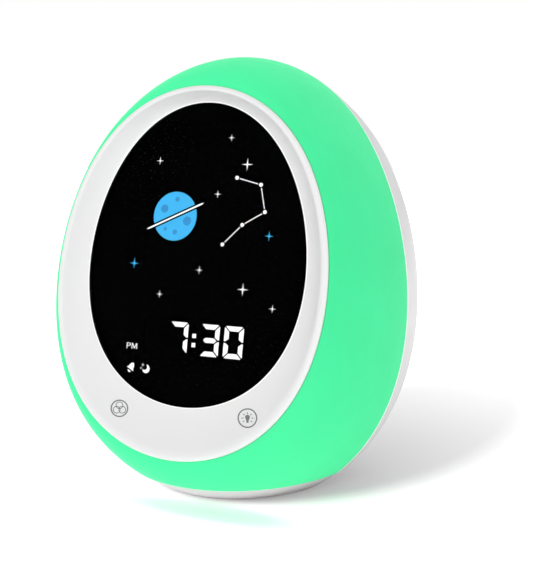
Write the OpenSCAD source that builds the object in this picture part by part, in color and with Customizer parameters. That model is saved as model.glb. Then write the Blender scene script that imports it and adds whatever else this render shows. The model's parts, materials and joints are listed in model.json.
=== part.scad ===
// Child's alarm clock with a night light: a glowing egg-shaped shell around a display that leans back.
// The face pieces are drawn in the face's own frame: x to the right, y up the face, z out of it, and
// z = 0 where the ring meets the glowing shell. on_face() stands that frame up on the table.

/* [Face] */
// Backward lean of the face, in degrees
face_tilt = 11.6; // [9:0.1:14]
// Height of the ring's centre above the table
face_height = 71.3; // [69:0.1:74]
// Distance of the ring's centre in front of the part's origin
face_forward = 36.8; // [30:0.1:44]

/* [Ring] */
// Width of the white ring
ring_w = 90; // [88:0.5:94]
// Height of the white ring
ring_h = 111; // [109:0.5:116]
// How much the ring narrows towards its top
ring_taper = 0.044; // [0.02:0.002:0.07]
// How square the ring's top and bottom are
ring_square = 0.07; // [0.04:0.01:0.1]
// Height of the ring's rounded lip above the shell
lip_rise = 1; // [0.5:0.1:1.5]
// Width of the ring's rounded lip
lip_w = 1.6; // [1.2:0.1:2]
// Thickness of the skirt that drops inside the shell
skirt_t = 1.2; // [1:0.1:1.4]
// Depth of the skirt below the shell's edge
skirt_h = 4.4; // [4:0.1:6]
// Wall of the ring under its sloping dish
dish_t = 2; // [1.6:0.1:2.4]

/* [Window] */
// Width of the display window
window_w = 72.8; // [70:0.2:74]
// Height of the display window
window_h = 91.2; // [88:0.2:92]
// How much the window narrows towards its top
window_taper = 0.091; // [0.07:0.001:0.11]
// How square the window's top and bottom are
window_square = 0.052; // [0.03:0.002:0.08]
// Height of the window's centre above the ring's
window_shift = 5.6; // [5:0.1:6]
// Depth of the window's edge below the shell's edge
window_recess = 3.8; // [3:0.1:5]
// Thickness of the ledge that holds the lens
ledge_t = 0.8; // [0.6:0.1:1.2]
// Width of the ledge that the lens lies on
ledge_w = 0.9; // [0.8:0.1:1]
// Thickness of the adhesive tape under the ledge
tape_t = 0.2; // [0.1:0.05:0.4]
// Thickness of the lens
lens_t = 1.5; // [1:0.1:2]
// Thickness of the picture film
film_t = 0.3; // [0.2:0.05:0.5]

/* [Shell] */
// Width of the clock at the seam between the glowing shell and the rear cover
seam_w = 110.4; // [108:0.2:116]
// Height of the uncut egg at that seam
seam_h = 145.8; // [142:0.2:150]
// How much the seam narrows towards its top
seam_taper = 0.146; // [0.12:0.002:0.16]
// How square the seam's top and bottom are
seam_square = 0.034; // [0.02:0.002:0.05]
// Height of the seam's centre above the ring's
seam_shift = 1; // [0:0.1:2]
// Depth of the seam behind the ring
seam_depth = 41.4; // [38:0.2:46]
// Fullness of the glowing shell between ring and seam
bulge = 1.64; // [1.5:0.02:1.9]
// Wall of the glowing shell and the rear cover
wall = 2; // [1.6:0.1:2.4]
// Length of the rear cover's tongue inside the glowing shell
tongue_l = 3; // [2:0.2:4]
// Thickness of that tongue
tongue_t = 1.2; // [1:0.1:1.4]

/* [Rear] */
// Depth of the rear cover behind the seam
rear_depth = 31.1; // [30:0.1:36]
// Size of the flat rear panel, as a share of the seam
rear_share = 0.806; // [0.79:0.002:0.83]
// Height of the rear panel's centre above the seam's
rear_shift = 11.8; // [11:0.1:12.6]

/* [Fits] */
// Clearance between pieces that fit together and stay
fit = 0.15; // [0.1:0.05:0.2]
// Clearance round pieces that move
play = 0.3; // [0.3:0.05:0.4]

/* [Display] */
// Depth of the reflector cells
cell_depth = 8; // [7.8:0.1:10]
// Wall between two cells
cell_wall = 1.2; // [1:0.1:1.6]
// Thickness of every circuit board
board_t = 1.6; // [1.2:0.1:2]
// Height of a digit
digit_h = 9.8; // [9:0.1:10.5]
// Width of a digit
digit_w = 6.3; // [5.8:0.1:6.5]
// Distance between neighbouring digits
digit_pitch = 7.9; // [7.4:0.1:8.2]
// Extra distance across the colon
colon_gap = 2.7; // [2.4:0.1:3]
// Width of a lit segment
segment_w = 1.6; // [1.2:0.05:1.8]
// Gap between neighbouring segments
segment_gap = 0.2; // [0.15:0.05:0.4]
// Size of a digit's cut corners
segment_corner = 0.9; // [0.6:0.1:1.2]
// Place of the colon across the face
colon_x = 1; // [0:0.1:2]
// Drop of the colon below the digits' middle
colon_drop = 0.4; // [0:0.1:0.6]
// Place of the digits up the face
digit_y = -19.7; // [-21:0.1:-18]
// Gap between the digit module and the picture film
module_gap = 0.2; // [0.1:0.1:1]
// Border of the digit module round its digits
module_border = 1.2; // [0.8:0.1:1.3]

/* [Touch keys] */
// Place of the colour key round the ring, in degrees
colour_key_angle = 244; // [240:1:246]
// Place of the lamp key round the ring, in degrees
lamp_key_angle = 301; // [298:1:304]
// Diameter of a touch spring
spring_d = 4.4; // [3.6:0.2:5]
// Wire diameter of a touch spring
spring_wire = 0.6; // [0.4:0.1:0.8]

/* [Lamp] */
// Number of lamp LEDs round the light board
led_count = 12; // [12:12:12]
// Side of a lamp LED
led_side = 5; // [3.5:0.5:5]
// Height of a lamp LED
led_h = 1.6; // [1:0.1:2]
// Outer edge of the light board, as a share of the way from the window to the glowing shell
light_share = 0.65; // [0.6:0.01:0.68]
// Inner edge of the light board, beyond the window
light_in = 2.5; // [2:0.1:3]

/* [Frame] */
// Thickness of the frame's plate
frame_t = 2.5; // [2:0.1:3]
// Edge of the frame's plate, beyond the light board
frame_edge = 1; // [0.6:0.1:1.4]
// Height of the posts that carry the main board
standoff_h = 12; // [10:0.5:14]
// Diameter of the posts for the case screws
post_d = 7; // [6:0.2:7]
// Gap between the bosses of the case screws and the battery box
post_gap = 1.65; // [1.2:0.05:2]
// Place of the upper case screws up the face
post_top = 28; // [26:0.5:30]
// Place of the lower case screws up the face
post_low = -22; // [-24:0.5:-18]
// Height of the rear cover's bosses for the case screws
case_boss_h = 9; // [8:0.5:12]
// Sideways place of the frame's two ribs
rib_x = 15; // [14:0.5:18]
// Thickness of those ribs
rib_t = 3; // [2:0.2:4]

/* [Main board] */
// Width of the main board
main_w = 54; // [50:0.5:56]
// Height of the main board
main_h = 48; // [44:0.5:50]
// Place of the main board's middle up the face
main_y = 9; // [8:0.5:11]

/* [Screws] */
// Thread diameter of the case and base screws
case_screw_d = 2.6; // [2.4:0.1:3]
// Thread diameter of the small screws
small_screw_d = 2; // [1.8:0.1:2.2]
// Length of a case screw
case_screw_l = 14; // [12:0.5:16]
// Length of a small screw
small_screw_l = 6; // [5:0.5:7]

/* [Speaker] */
// Diameter of the speaker
speaker_d = 30; // [28:0.5:31]
// Place of the speaker up the face
speaker_y = 46; // [45:0.2:47]
// Depth of the speaker's basket
basket_h = 7; // [6:0.2:9]
// Diameter of the magnet
magnet_d = 17; // [14:0.5:18]
// Thickness of the magnet
magnet_h = 4; // [3:0.2:6]
// Thickness of the foam ring
gasket_t = 0.5; // [0.4:0.1:0.8]
// Diameter of a grille hole
grille_hole_d = 1.8; // [1.4:0.1:2.2]
// Distance between the grille's rings of holes
grille_pitch = 3.8; // [3.6:0.1:4]

/* [Buttons] */
// Diameter of a rear button
button_d = 7; // [6:0.1:7]
// Height of a rear button above the panel
button_rise = 1.2; // [0.8:0.1:1.6]
// Distance between two rear buttons
button_pitch = 11; // [10.6:0.1:11.2]
// Distance from the battery door up to the row of buttons
button_gap = 9.65; // [9.2:0.05:10.1]
// Travel of a rear button
button_travel = 0.7; // [0.3:0.1:0.8]
// Height of a switch's body
switch_h = 3.5; // [3.2:0.1:4]

/* [Batteries] */
// Diameter of a cell
cell_d = 10.5; // [10:0.1:10.5]
// Length of a cell, with its tip
cell_l = 44.5; // [43.3:0.1:44.5]
// Space at each end of a cell for its contacts
contact_room = 2.6; // [2.2:0.1:3]
// Wall of the battery box
box_wall = 1; // [0.8:0.1:1.4]
// Place of the middle cell up the face
battery_y = -13; // [-13.4:0.1:-12.6]
// Door's reach below the battery box, where its tabs turn
door_low = 5; // [5:0.1:5.4]
// Door's reach above the battery box, where its catch is
door_high = 6; // [5.6:0.1:6.2]
// Thickness of the battery door
door_t = 1.7; // [1.4:0.1:1.8]
// Corner radius of the battery door
door_corner = 3; // [2:0.2:4]

/* [Socket] */
// Width of the power socket's shell
usb_w = 8.94; // [8.94:0.01:9]
// Height of the power socket's shell
usb_h = 3.26; // [3.2:0.01:3.3]
// Depth of the power socket
usb_l = 7.3; // [6.5:0.1:8]
// Place of the power socket up the face
usb_y = -42; // [-42.6:0.1:-41.6]

/* [Base] */
// Height of the foot under the shells
foot_h = 6.2; // [5:0.1:7]
// How far the foot is set in under the shells
foot_inset = 0.3; // [0.2:0.1:1]
// Height of the gap under the foot
foot_gap = 0.3; // [0.3:0.1:0.8]
// Thickness of the foot's floor
foot_floor = 2; // [1.6:0.1:2.6]
// Thickness of a rubber pad
pad_t = 1.3; // [1:0.1:1.6]
// Diameter of a rubber pad
pad_d = 8; // [7:0.5:9]
// Thickness of the frame's shelf on the foot
shelf_t = 2.5; // [2:0.1:3]

/* [Hidden] */

// Facets round an egg outline, and turn between two of the shell's sections, in degrees
RIM_STEPS = 72;
SECTION_TURN = 9;
EPS = 0.01;
REACH = 300;
$fn = 48;

// Depths of the display stack, from the window's ledge back to the main board
ledge_z = -window_recess - ledge_t;
lens_z = ledge_z - tape_t;
film_z = lens_z - lens_t;
cells_z = film_z - film_t;
board_z = cells_z - cell_depth;
frame_z = board_z - board_t;
frame_back_z = frame_z - frame_t;
main_z = frame_back_z - standoff_h;
main_back_z = main_z - board_t;

// Depths of the rear panel's outer and inner faces
back_z = -seam_depth - rear_depth;
inner_z = back_z + wall;

// The battery bay, its door and its flange set the places of what lies round them on the panel
cell_gap = 0.6;
door_side = 2;
tray_w = cell_l + 2 * contact_room;
door_w = tray_w + 2 * door_side;
cells_h = 3 * cell_d + 2 * cell_gap;
tray_low = battery_y - cells_h / 2 - box_wall;
tray_high = battery_y + cells_h / 2 + box_wall;
door_bottom = tray_low - door_low;
door_top = tray_high + door_high;
door_y = (door_bottom + door_top) / 2;
door_h = door_top - door_bottom;
// Radius of the door's round lower edge, and the line that it turns on
hinge_r = door_t / 2;
hinge_y = door_bottom + hinge_r;
hinge_z = back_z + hinge_r;
box_flange_t = 1.2;
box_flange_edge = 2;
button_y = door_top + button_gap;

// An egg outline is [half width, half height, taper, squareness, shift] in millimetres.
function outline(w, h, taper, square, shift) = [w / 2, h / 2, w / 2 * taper, w / 2 * square, shift];
function grown(o, d) = [o[0] + d, o[1] + d, o[2], o[3], o[4]];
function mixed(a, b, t) = a * (1 - t) + b * t;
function rim_point(o, a) =
    [cos(a) * (o[0] - o[2] * sin(a) + o[3] * sin(a) * sin(a)), o[1] * sin(a) + o[4]];

ring = outline(ring_w, ring_h, ring_taper, ring_square, 0);
window = outline(window_w, window_h, window_taper, window_square, window_shift);
seam = outline(seam_w, seam_h, seam_taper, seam_square, seam_shift);
panel = outline(seam_w * rear_share, seam_h * rear_share, seam_taper, seam_square,
    seam_shift + rear_shift);

// A section is [outline, depth]. The shells' sections turn from facing forward to facing sideways,
// and then to facing back. t is the depth below the outer surface.
shell_growth = ((seam_w - ring_w) + (seam_h - ring_h)) / 4;
panel_shrink = ((seam_w + seam_h) * (1 - rear_share)) / 4;
function shell_section(a, t) =
    let (out = pow(sin(a), 2 / bulge))
    let (left = pow(cos(a), 2 / bulge))
    let (slope = [pow(out, bulge - 1) / shell_growth, pow(left, bulge - 1) / seam_depth])
    let (n = slope / norm(slope))
    [grown(mixed(ring, seam, out), -t * n[0]), -seam_depth * (1 - left) - t * n[1]];
function cover_section(a, t) =
    let (slope = [cos(a) / panel_shrink, sin(a) / rear_depth])
    let (n = slope / norm(slope))
    [grown(mixed(seam, panel, 1 - cos(a)), -t * n[0]), -seam_depth - rear_depth * sin(a) + t * n[1]];
// The shell's outline at a depth
function shell_at(z) = mixed(ring, seam, pow(1 - pow(1 + z / seam_depth, bulge), 1 / bulge));
function shell_sections(t) = [for (a = [0:SECTION_TURN:90]) shell_section(a, t)];
function cover_sections(t) = [for (a = [0:SECTION_TURN:90]) cover_section(a, t)];
function reversed(list) = [for (i = [len(list) - 1:-1:0]) list[i]];

// Skins sections that follow each other: into a hoop when closed, else into a solid with two ends.
function strip_faces(first, second) =
    [for (i = [0:RIM_STEPS - 1]) let (j = (i + 1) % RIM_STEPS)
        each [[first + i, second + j, second + i], [first + i, first + j, second + j]]];
module skin(sections, closed) {
    count = len(sections);
    points = [for (s = sections) for (i = [0:RIM_STEPS - 1])
        let (p = rim_point(s[0], 360 * i / RIM_STEPS)) [p[0], p[1], s[1]]];
    strips = [for (k = [0:count - (closed ? 1 : 2)])
        each strip_faces(k * RIM_STEPS, ((k + 1) % count) * RIM_STEPS)];
    ends = closed ? [] : [[for (i = [RIM_STEPS - 1:-1:0]) i],
        [for (i = [0:RIM_STEPS - 1]) (count - 1) * RIM_STEPS + i]];
    polyhedron(points = points, faces = concat(strips, ends), convexity = 6);
}
module envelope(t) {
    skin(concat(shell_sections(t), cover_sections(t)), false);
}

// Places in the face's frame, and the same places in the frame of the table.
module on_face() {
    translate([0, -face_forward, face_height]) rotate([90 - face_tilt, 0, 0]) children();
}
function on_table(y, z) =
    [-face_forward + y * sin(face_tilt) - z * cos(face_tilt),
        face_height + y * cos(face_tilt) + z * sin(face_tilt)];
module below(z) {
    translate([-REACH / 2, -REACH / 2, z - REACH]) cube(REACH);
}
module slab(low, high) {
    translate([-REACH / 2, -REACH / 2, low]) cube([REACH, REACH, high - low]);
}

// Flat shapes
module rim(o) {
    polygon([for (i = [0:RIM_STEPS - 1]) rim_point(o, 360 * i / RIM_STEPS)]);
}
module rounded_square(w, h, r) {
    square([w - 2 * r, h], center = true);
    square([w, h - 2 * r], center = true);
    for (x = [-1, 1]) for (y = [-1, 1])
        translate([x * (w / 2 - r), y * (h / 2 - r)]) circle(r);
}
// A plate from depth z forward by t
module plate(z, t) {
    translate([0, 0, z]) linear_extrude(t) children();
}
module brick(x, y, z, size) {
    translate([x - size[0] / 2, y - size[1] / 2, z]) cube(size);
}
module rod(x, y, z, d, h) {
    translate([x, y, z]) cylinder(d = d, h = h);
}

// Pan-head screw along z with its head's seat at z = 0, its thread going down, and its head above
HEAD_SHARE = 1.9;
HEAD_H_SHARE = 0.6;
SLOT_SHARE = 0.28;
CLEARANCE_SHARE = 1.2;
module screw(d, l) {
    head_d = d * HEAD_SHARE;
    head_h = d * HEAD_H_SHARE;
    slot = d * SLOT_SHARE;
    translate([0, 0, -l]) cylinder(d = d, h = l + EPS);
    difference() {
        cylinder(d1 = head_d, d2 = head_d * 0.8, h = head_h);
        for (turn = [0, 90]) rotate([0, 0, turn])
            translate([-head_d * 0.3, -slot / 2, head_h * 0.4]) cube([head_d * 0.6, slot, head_h]);
    }
}
PILOT_EXTRA = 0.1;
function pilot(d) = d + PILOT_EXTRA;
small_hole_d = small_screw_d * CLEARANCE_SHARE;
case_hole_d = case_screw_d * CLEARANCE_SHARE;
case_recess_d = case_screw_d * HEAD_SHARE + 2 * play;

// Tube along a route, with its ends square to their first and last stretch
LEAD_SIDES = 8;
LEAD_RINGS = 9;
lead_d = 1.2;
lead_pitch = 1.6;
function unit(v) = v / norm(v);
function curve_at(r, t) = r[0] * pow(1 - t, 3) + r[1] * 3 * t * pow(1 - t, 2)
    + r[2] * 3 * t * t * (1 - t) + r[3] * pow(t, 3);
function curve_way(r, t) = unit((r[1] - r[0]) * pow(1 - t, 2) + (r[2] - r[1]) * 2 * t * (1 - t)
    + (r[3] - r[2]) * t * t);
// r holds the four places that steer a smooth route
module tube(r, d) {
    count = LEAD_RINGS + 1;
    points = [for (i = [0:LEAD_RINGS])
        let (t = i / LEAD_RINGS)
        let (way = curve_way(r, t))
        let (side = unit(cross(way, [0, 1, 0])))
        let (up = cross(side, way))
        for (k = [0:LEAD_SIDES - 1])
            let (a = 360 * k / LEAD_SIDES) curve_at(r, t) + d / 2 * (cos(a) * side + sin(a) * up)];
    walls = [for (i = [0:count - 2]) for (k = [0:LEAD_SIDES - 1])
        let (n = (k + 1) % LEAD_SIDES) let (r = i * LEAD_SIDES) let (s = r + LEAD_SIDES)
        each [[r + k, s + n, s + k], [r + k, r + n, s + n]]];
    ends = [[for (k = [LEAD_SIDES - 1:-1:0]) k],
        [for (k = [0:LEAD_SIDES - 1]) (count - 1) * LEAD_SIDES + k]];
    polyhedron(points = points, faces = concat(walls, ends), convexity = 4);
}
module lead_pair(a, b, c, d) {
    for (side = [-1, 1]) let (off = [side * lead_pitch / 2, 0, 0])
        tube([a + off, b + off, c + off, d + off], lead_d);
}

// ---- front ----

// Middle of the ring's face at an angle, halfway between the window and the ring's outer edge
function ring_middle(a) = (rim_point(ring, a) + rim_point(window, a)) / 2;
bezel_post_angles = [0, 180, 270];
bezel_post_d = 5.2;
bezel_pilot_l = 7;
key_boss_d = 6.4;
key_boss_z = ledge_z - 0.3;
// Top of the posts and bosses, inside the wall under the dish
under_dish_z = ledge_z + 1.2;
key_angles = [colour_key_angle, lamp_key_angle];
pocket_rim = 0.8;
LIP_STEPS = 4;
DISH_STEPS = 4;
flange_turn = SECTION_TURN;
flange_fit = 0.35;
neck_in = 0.8;
// Sag of the dish below a straight slope
dish_sag = 0.4;

module front_bezel() {
    edge = grown(ring, -fit);
    crest = grown(ring, -lip_w);
    pocket = grown(window, ledge_w + fit);
    pocket_out = grown(pocket, pocket_rim);
    skirt_in = grown(edge, -skirt_t);
    flange = shell_section(flange_turn, wall + flange_fit);
    pocket_z = cells_z;
    lip = [for (i = [0:LIP_STEPS]) let (a = 90 * i / LIP_STEPS)
        [mixed(edge, crest, 1 - cos(a)), lip_rise * sin(a)]];
    dish = [for (i = [1:DISH_STEPS]) let (t = i / DISH_STEPS)
        [mixed(crest, window, t),
            lip_rise - (lip_rise + window_recess) * t - dish_sag * sin(180 * t)]];
    back = [[window, ledge_z], [pocket, ledge_z], [pocket, pocket_z], [pocket_out, pocket_z],
        [pocket_out, ledge_z - 0.2], [mixed(pocket_out, skirt_in, 0.6), ledge_z + 0.9],
        [skirt_in, lip_rise - dish_t], [skirt_in, -skirt_h],
        [flange[0], -skirt_h], flange, [grown(edge, -neck_in), -wall - flange_fit]];
    color([0.93, 0.93, 0.93]) on_face() difference() {
        union() {
            skin(reversed(concat(lip, dish, back)), true);
            for (a = bezel_post_angles) let (p = ring_middle(a))
                rod(p[0], p[1], frame_z, bezel_post_d, under_dish_z - frame_z);
            for (a = key_angles) let (p = ring_middle(a))
                rod(p[0], p[1], key_boss_z, key_boss_d, under_dish_z - key_boss_z);
        }
        for (a = bezel_post_angles) let (p = ring_middle(a))
            rod(p[0], p[1], frame_z - EPS, pilot(small_screw_d), bezel_pilot_l);
    }
}

module display_lens() {
    color([0.03, 0.03, 0.04]) on_face() plate(film_z, lens_t) rim(grown(window, ledge_w));
}

module lens_tape() {
    color([0.2, 0.2, 0.2]) on_face() plate(lens_z, tape_t) difference() {
        rim(grown(window, ledge_w));
        rim(grown(window, fit));
    }
}

// Places in the picture, from the middle of the window: a ringed planet, sparkles and star lines
planet = [-9, 17];
planet_d = 15;
planet_belt = [18, 1.5];
planet_turn = 24;
sparkle_places = [[14, 33, 1.9], [-16, 34, 1.3], [23, 12, 1.5], [5, 24, 1.2], [16, -4, 1.9],
    [-22, 2, 1.7], [1, 1, 1.3], [-12, -7, 1.2], [26, -9, 1.2], [8, 41, 1.1]];
star_line = [[8, 9], [14, 15], [21, 19], [19, 27], [11, 29]];
line_w = 0.25;
line_gap = 0.4;
dot_d = 1.2;
sparkle_waist = 0.2;
module sparkle(r) {
    polygon([for (i = [0:7]) let (reach = i % 2 == 0 ? r : r * sparkle_waist)
        reach * [cos(45 * i), sin(45 * i)]]);
}
module planet_shape() {
    difference() {
        circle(d = planet_d);
        rotate([0, 0, planet_turn]) square(planet_belt, center = true);
    }
}
module star_line_shape() {
    for (p = star_line) translate(p) circle(d = dot_d);
    for (i = [0:len(star_line) - 2])
        let (a = star_line[i]) let (b = star_line[i + 1]) let (v = b - a)
            translate((a + b) / 2) rotate([0, 0, atan2(v[1], v[0])])
                square([norm(v) - dot_d - 2 * line_gap, line_w], center = true);
}
module picture() {
    translate(planet) planet_shape();
    for (s = sparkle_places) translate([s[0], s[1]]) sparkle(s[2]);
    star_line_shape();
}

// Digits: the first place is dark, the rest read 7:30
digit_places = [for (i = [-1.5, -0.5, 0.5, 1.5])
    [colon_x + i * digit_pitch + sign(i) * colon_gap / 2, digit_y]];
DIGIT_CODES = [[], [0, 1, 2], [0, 1, 2, 3, 6], [0, 1, 2, 3, 4, 5]];
module_depth = cell_depth - module_gap;
module_w = 4 * digit_pitch + colon_gap + 2 * module_border - (digit_pitch - digit_w);
module_h = digit_h + 2 * module_border;
// Segments in order: top, right upper, right lower, bottom, left lower, left upper, middle
module segment(i) {
    w = digit_w / 2;
    h = digit_h / 2;
    inner = w - segment_w;
    mid = segment_w / 2;
    c = segment_corner;
    g = segment_gap * 0.7;
    across = [[-w + c + g, h], [w - c - g, h], [w - c / 2 - g, h - c / 2], [inner - g, h - segment_w],
        [-inner + g, h - segment_w], [-w + c / 2 + g, h - c / 2]];
    upright = [[w - c / 2, h - c / 2 - g], [w, h - c - g], [w, g], [inner + mid + g, g],
        [inner, mid + g], [inner, h - segment_w - g]];
    middle = [[-inner - mid + g, 0], [-inner + g, mid], [inner - g, mid], [inner + mid - g, 0],
        [inner - g, -mid], [-inner + g, -mid]];
    points = i == 6 ? middle : i == 0 || i == 3 ? across : upright;
    mirror([i == 4 || i == 5 ? 1 : 0, 0, 0]) mirror([0, i == 2 || i == 3 || i == 4 ? 1 : 0, 0])
        polygon(points);
}
module digit(code) {
    for (i = code) segment(i);
}
colon_side = 1.25;
colon_spread = 1.37;
module colon_shape() {
    for (y = [-1, 1]) translate([colon_x, digit_y - colon_drop + y * colon_spread])
        square(colon_side, center = true);
}
module digits_shape() {
    for (i = [0:3]) translate(digit_places[i]) digit(DIGIT_CODES[i]);
    colon_shape();
}
// Wells for the indicators: place and size
indicator_places = [[-19.9, -23.4, 5.2, 3], [-19.7, -30.2, 4, 4], [-14.4, -29.8, 4, 4]];
INDICATOR_SHARE = 0.6;
film_border = 0.5;

module picture_film() {
    color([0.02, 0.02, 0.02]) on_face() plate(cells_z, film_t) difference() {
        rim(grown(window, ledge_w));
        picture();
        translate([colon_x, digit_y])
            square([module_w - 2 * film_border, module_h - 2 * film_border], center = true);
        for (p = indicator_places) translate([p[0], p[1]])
            square([p[2], p[3]] * INDICATOR_SHARE, center = true);
    }
}

picture_floor_y = -10;
module light_box() {
    color("white") on_face() plate(board_z, cell_depth) difference() {
        rim(grown(window, ledge_w));
        intersection() {
            rim(grown(window, -cell_wall));
            translate([-REACH / 2, picture_floor_y]) square(REACH);
        }
        translate([colon_x, digit_y]) square([module_w + 2 * fit, module_h + 2 * fit], center = true);
        for (p = indicator_places) translate([p[0], p[1]]) square([p[2], p[3]], center = true);
    }
}

segment_depth = 0.6;
module digit_module() {
    color([0.1, 0.1, 0.1]) on_face() difference() {
        brick(colon_x, digit_y, board_z, [module_w, module_h, module_depth]);
        plate(board_z + module_depth - segment_depth, segment_depth + EPS) digits_shape();
    }
}
module digit_segments() {
    color("white") on_face() plate(board_z + module_depth - segment_depth, segment_depth) digits_shape();
}

picture_led_size = [3.5, 2.8, 1.9];
picture_led_places = [[-18, 30], [0, 34], [18, 26], [-22, 10], [-4, 12], [14, 8], [24, -2], [-12, -3],
    [4, -2]];
module picture_leds() {
    color([0.95, 0.93, 0.75]) on_face() {
        for (p = picture_led_places) brick(p[0], p[1], board_z, picture_led_size);
        for (p = indicator_places) brick(p[0], p[1], board_z, picture_led_size);
    }
}

module display_board() {
    color([0.05, 0.35, 0.15]) on_face() plate(frame_z, board_t) rim(grown(window, ledge_w));
}

module touch_springs() {
    color("silver") on_face() for (a = key_angles) let (p = ring_middle(a)) difference() {
        rod(p[0], p[1], board_z, spring_d, key_boss_z - board_z);
        rod(p[0], p[1], board_z + spring_wire, spring_d - 2 * spring_wire, -board_z);
    }
}

light_rim = mixed(window, shell_at(board_z), light_share);
light_bore = grown(window, light_in);
// The LEDs stand a little outside the middle of the light board
LED_SHARE = 0.55;
led_ring = mixed(light_bore, light_rim, LED_SHARE);
led_places = [for (i = [0:led_count - 1]) rim_point(led_ring, 360 * (i + 0.5) / led_count)];
module light_board() {
    color([0.9, 0.92, 0.9]) on_face() plate(frame_z, board_t) difference() {
        rim(light_rim);
        rim(light_bore);
        for (a = bezel_post_angles) translate(ring_middle(a)) circle(d = bezel_post_d + 2 * play);
    }
}
module mood_leds() {
    color([0.95, 0.93, 0.75]) on_face()
        for (p = led_places) brick(p[0], p[1], board_z, [led_side, led_side, led_h]);
}

// ---- frame ----

module bezel_screws() {
    color("silver") on_face() for (a = bezel_post_angles) let (p = ring_middle(a))
        translate([p[0], p[1], frame_back_z]) mirror([0, 0, 1])
            screw(small_screw_d, small_screw_l + frame_t);
}

board_edge = 3.5;
boss_d = post_d + 1;
post_x = door_w / 2 + box_flange_edge + post_gap + boss_d / 2;
case_spots = [for (y = [post_top, post_low]) for (x = [-post_x, post_x]) [x, y]];
case_pilot_l = case_screw_l;
post_end_z = inner_z + case_boss_h;
main_spots = [for (x = [-1, 1]) for (y = [-1, 1])
    [x * (main_w / 2 - board_edge), main_y + y * (main_h / 2 - board_edge)]];
standoff_d = 5.4;
main_pilot_l = 8;
frame_opening = [34, 26];
// Places of the base screws and the foot's pads on the table
foot_y = -6;
base_spots = [[-9, -13], [9, -13], [-9, 14], [9, 14]];
base_boss_d = 6.5;
base_boss_h = 9;
shelf_inset = wall + tongue_t + 3 * fit;
shelf_low = foot_h;
shelf_high = foot_h + shelf_t;

frame_rim = grown(light_rim, frame_edge);
rib_edge = 3;
rib_run = 20;
module frame_rib(x) {
    top = on_table(main_y - main_h / 2 - rib_edge, frame_back_z + EPS);
    low = on_table(rim_point(frame_rim, 270)[1] + rib_edge, frame_back_z + EPS);
    translate([x - rib_t / 2, 0, 0]) rotate([90, 0, 90]) linear_extrude(rib_t)
        polygon([top, low, [low[0] + 1, shelf_high - EPS], [foot_y + rib_run, shelf_high - EPS]]);
}

module inner_frame() {
    color([0.85, 0.86, 0.88]) difference() {
        union() {
            on_face() {
                plate(frame_back_z, frame_t) rim(frame_rim);
                for (p = case_spots)
                    rod(p[0], p[1], post_end_z, post_d, frame_back_z - post_end_z + EPS);
                for (p = main_spots) rod(p[0], p[1], main_z, standoff_d, standoff_h + EPS);
            }
            frame_rib(-rib_x);
            frame_rib(rib_x);
            intersection() {
                on_face() envelope(shelf_inset);
                slab(shelf_low, shelf_high);
            }
            for (p = base_spots) rod(p[0], foot_y + p[1], shelf_low, base_boss_d, base_boss_h);
        }
        on_face() {
            brick(0, main_y, frame_back_z - EPS,
                [frame_opening[0], frame_opening[1], frame_t + 2 * EPS]);
            for (p = case_spots) rod(p[0], p[1], post_end_z - EPS, pilot(case_screw_d), case_pilot_l);
            for (p = main_spots) rod(p[0], p[1], main_z - EPS, pilot(small_screw_d), main_pilot_l);
            for (a = bezel_post_angles) let (p = ring_middle(a))
                rod(p[0], p[1], frame_back_z - EPS, small_hole_d, frame_t + 2 * EPS);
        }
        for (p = base_spots)
            rod(p[0], foot_y + p[1], shelf_low - EPS, pilot(case_screw_d), base_boss_h - 1);
    }
}

module diffuser_shell() {
    color([0.31, 1, 0.68]) difference() {
        on_face() skin(concat(shell_sections(0), reversed(shell_sections(wall))), true);
        below(foot_h);
    }
}

// ---- main board ----

module main_board() {
    color([0.05, 0.35, 0.15]) on_face() difference() {
        brick(0, main_y, main_back_z, [main_w, main_h, board_t]);
        for (p = main_spots)
            rod(p[0], p[1], main_back_z - EPS, small_hole_d, board_t + 2 * EPS);
    }
}
// Pieces on the board's rear face stand h high towards the back
module on_main(x, y, size) {
    brick(x, main_y + y, main_back_z - size[2], size);
}
chip_place = [0, -2];
chip_size = [10, 10, 1.4];
sound_chip_place = [-14, 4];
sound_chip_size = [5.2, 5.3, 1.7];
crystal_place = [0, -13];
crystal_size = [11, 4.6, 3.5];
// Capacitors: place in from the board's right edge and up from its middle, diameter and height
capacitor_places = [[10, 8, 6.3, 11], [10, 0, 5, 11], [17, 14, 5, 11]];
connector_size = [7.5, 5.8, 4.5];
connector_in = [11, 6];
connector_reach = [main_w / 2 - connector_in[0], main_h / 2 - connector_in[1]];
button_connector_in = 25;
connector_places = [[-connector_reach[0], connector_reach[1]],
    [main_w / 2 - button_connector_in, connector_reach[1]],
    [-connector_reach[0], -connector_reach[1]], [connector_reach[0], -connector_reach[1]]];
// Where a connector's leads start
function connector_end(i) =
    [connector_places[i][0], main_y + connector_places[i][1], main_back_z - connector_size[2]];
module main_chip() {
    color([0.1, 0.1, 0.11]) on_face() on_main(chip_place[0], chip_place[1], chip_size);
}
module sound_chip() {
    color([0.1, 0.1, 0.11]) on_face()
        on_main(sound_chip_place[0], sound_chip_place[1], sound_chip_size);
}
module capacitors() {
    color([0.15, 0.2, 0.4]) on_face() for (c = capacitor_places)
        rod(main_w / 2 - c[0], main_y + c[1], main_back_z - c[3], c[2], c[3]);
}
module crystal() {
    color("silver") on_face() on_main(crystal_place[0], crystal_place[1], crystal_size);
}
module lead_connectors() {
    color("ivory") on_face() for (p = connector_places) on_main(p[0], p[1], connector_size);
}
module main_board_screws() {
    color("silver") on_face() for (p = main_spots)
        translate([p[0], p[1], main_back_z]) mirror([0, 0, 1]) screw(small_screw_d, small_screw_l);
}

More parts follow.
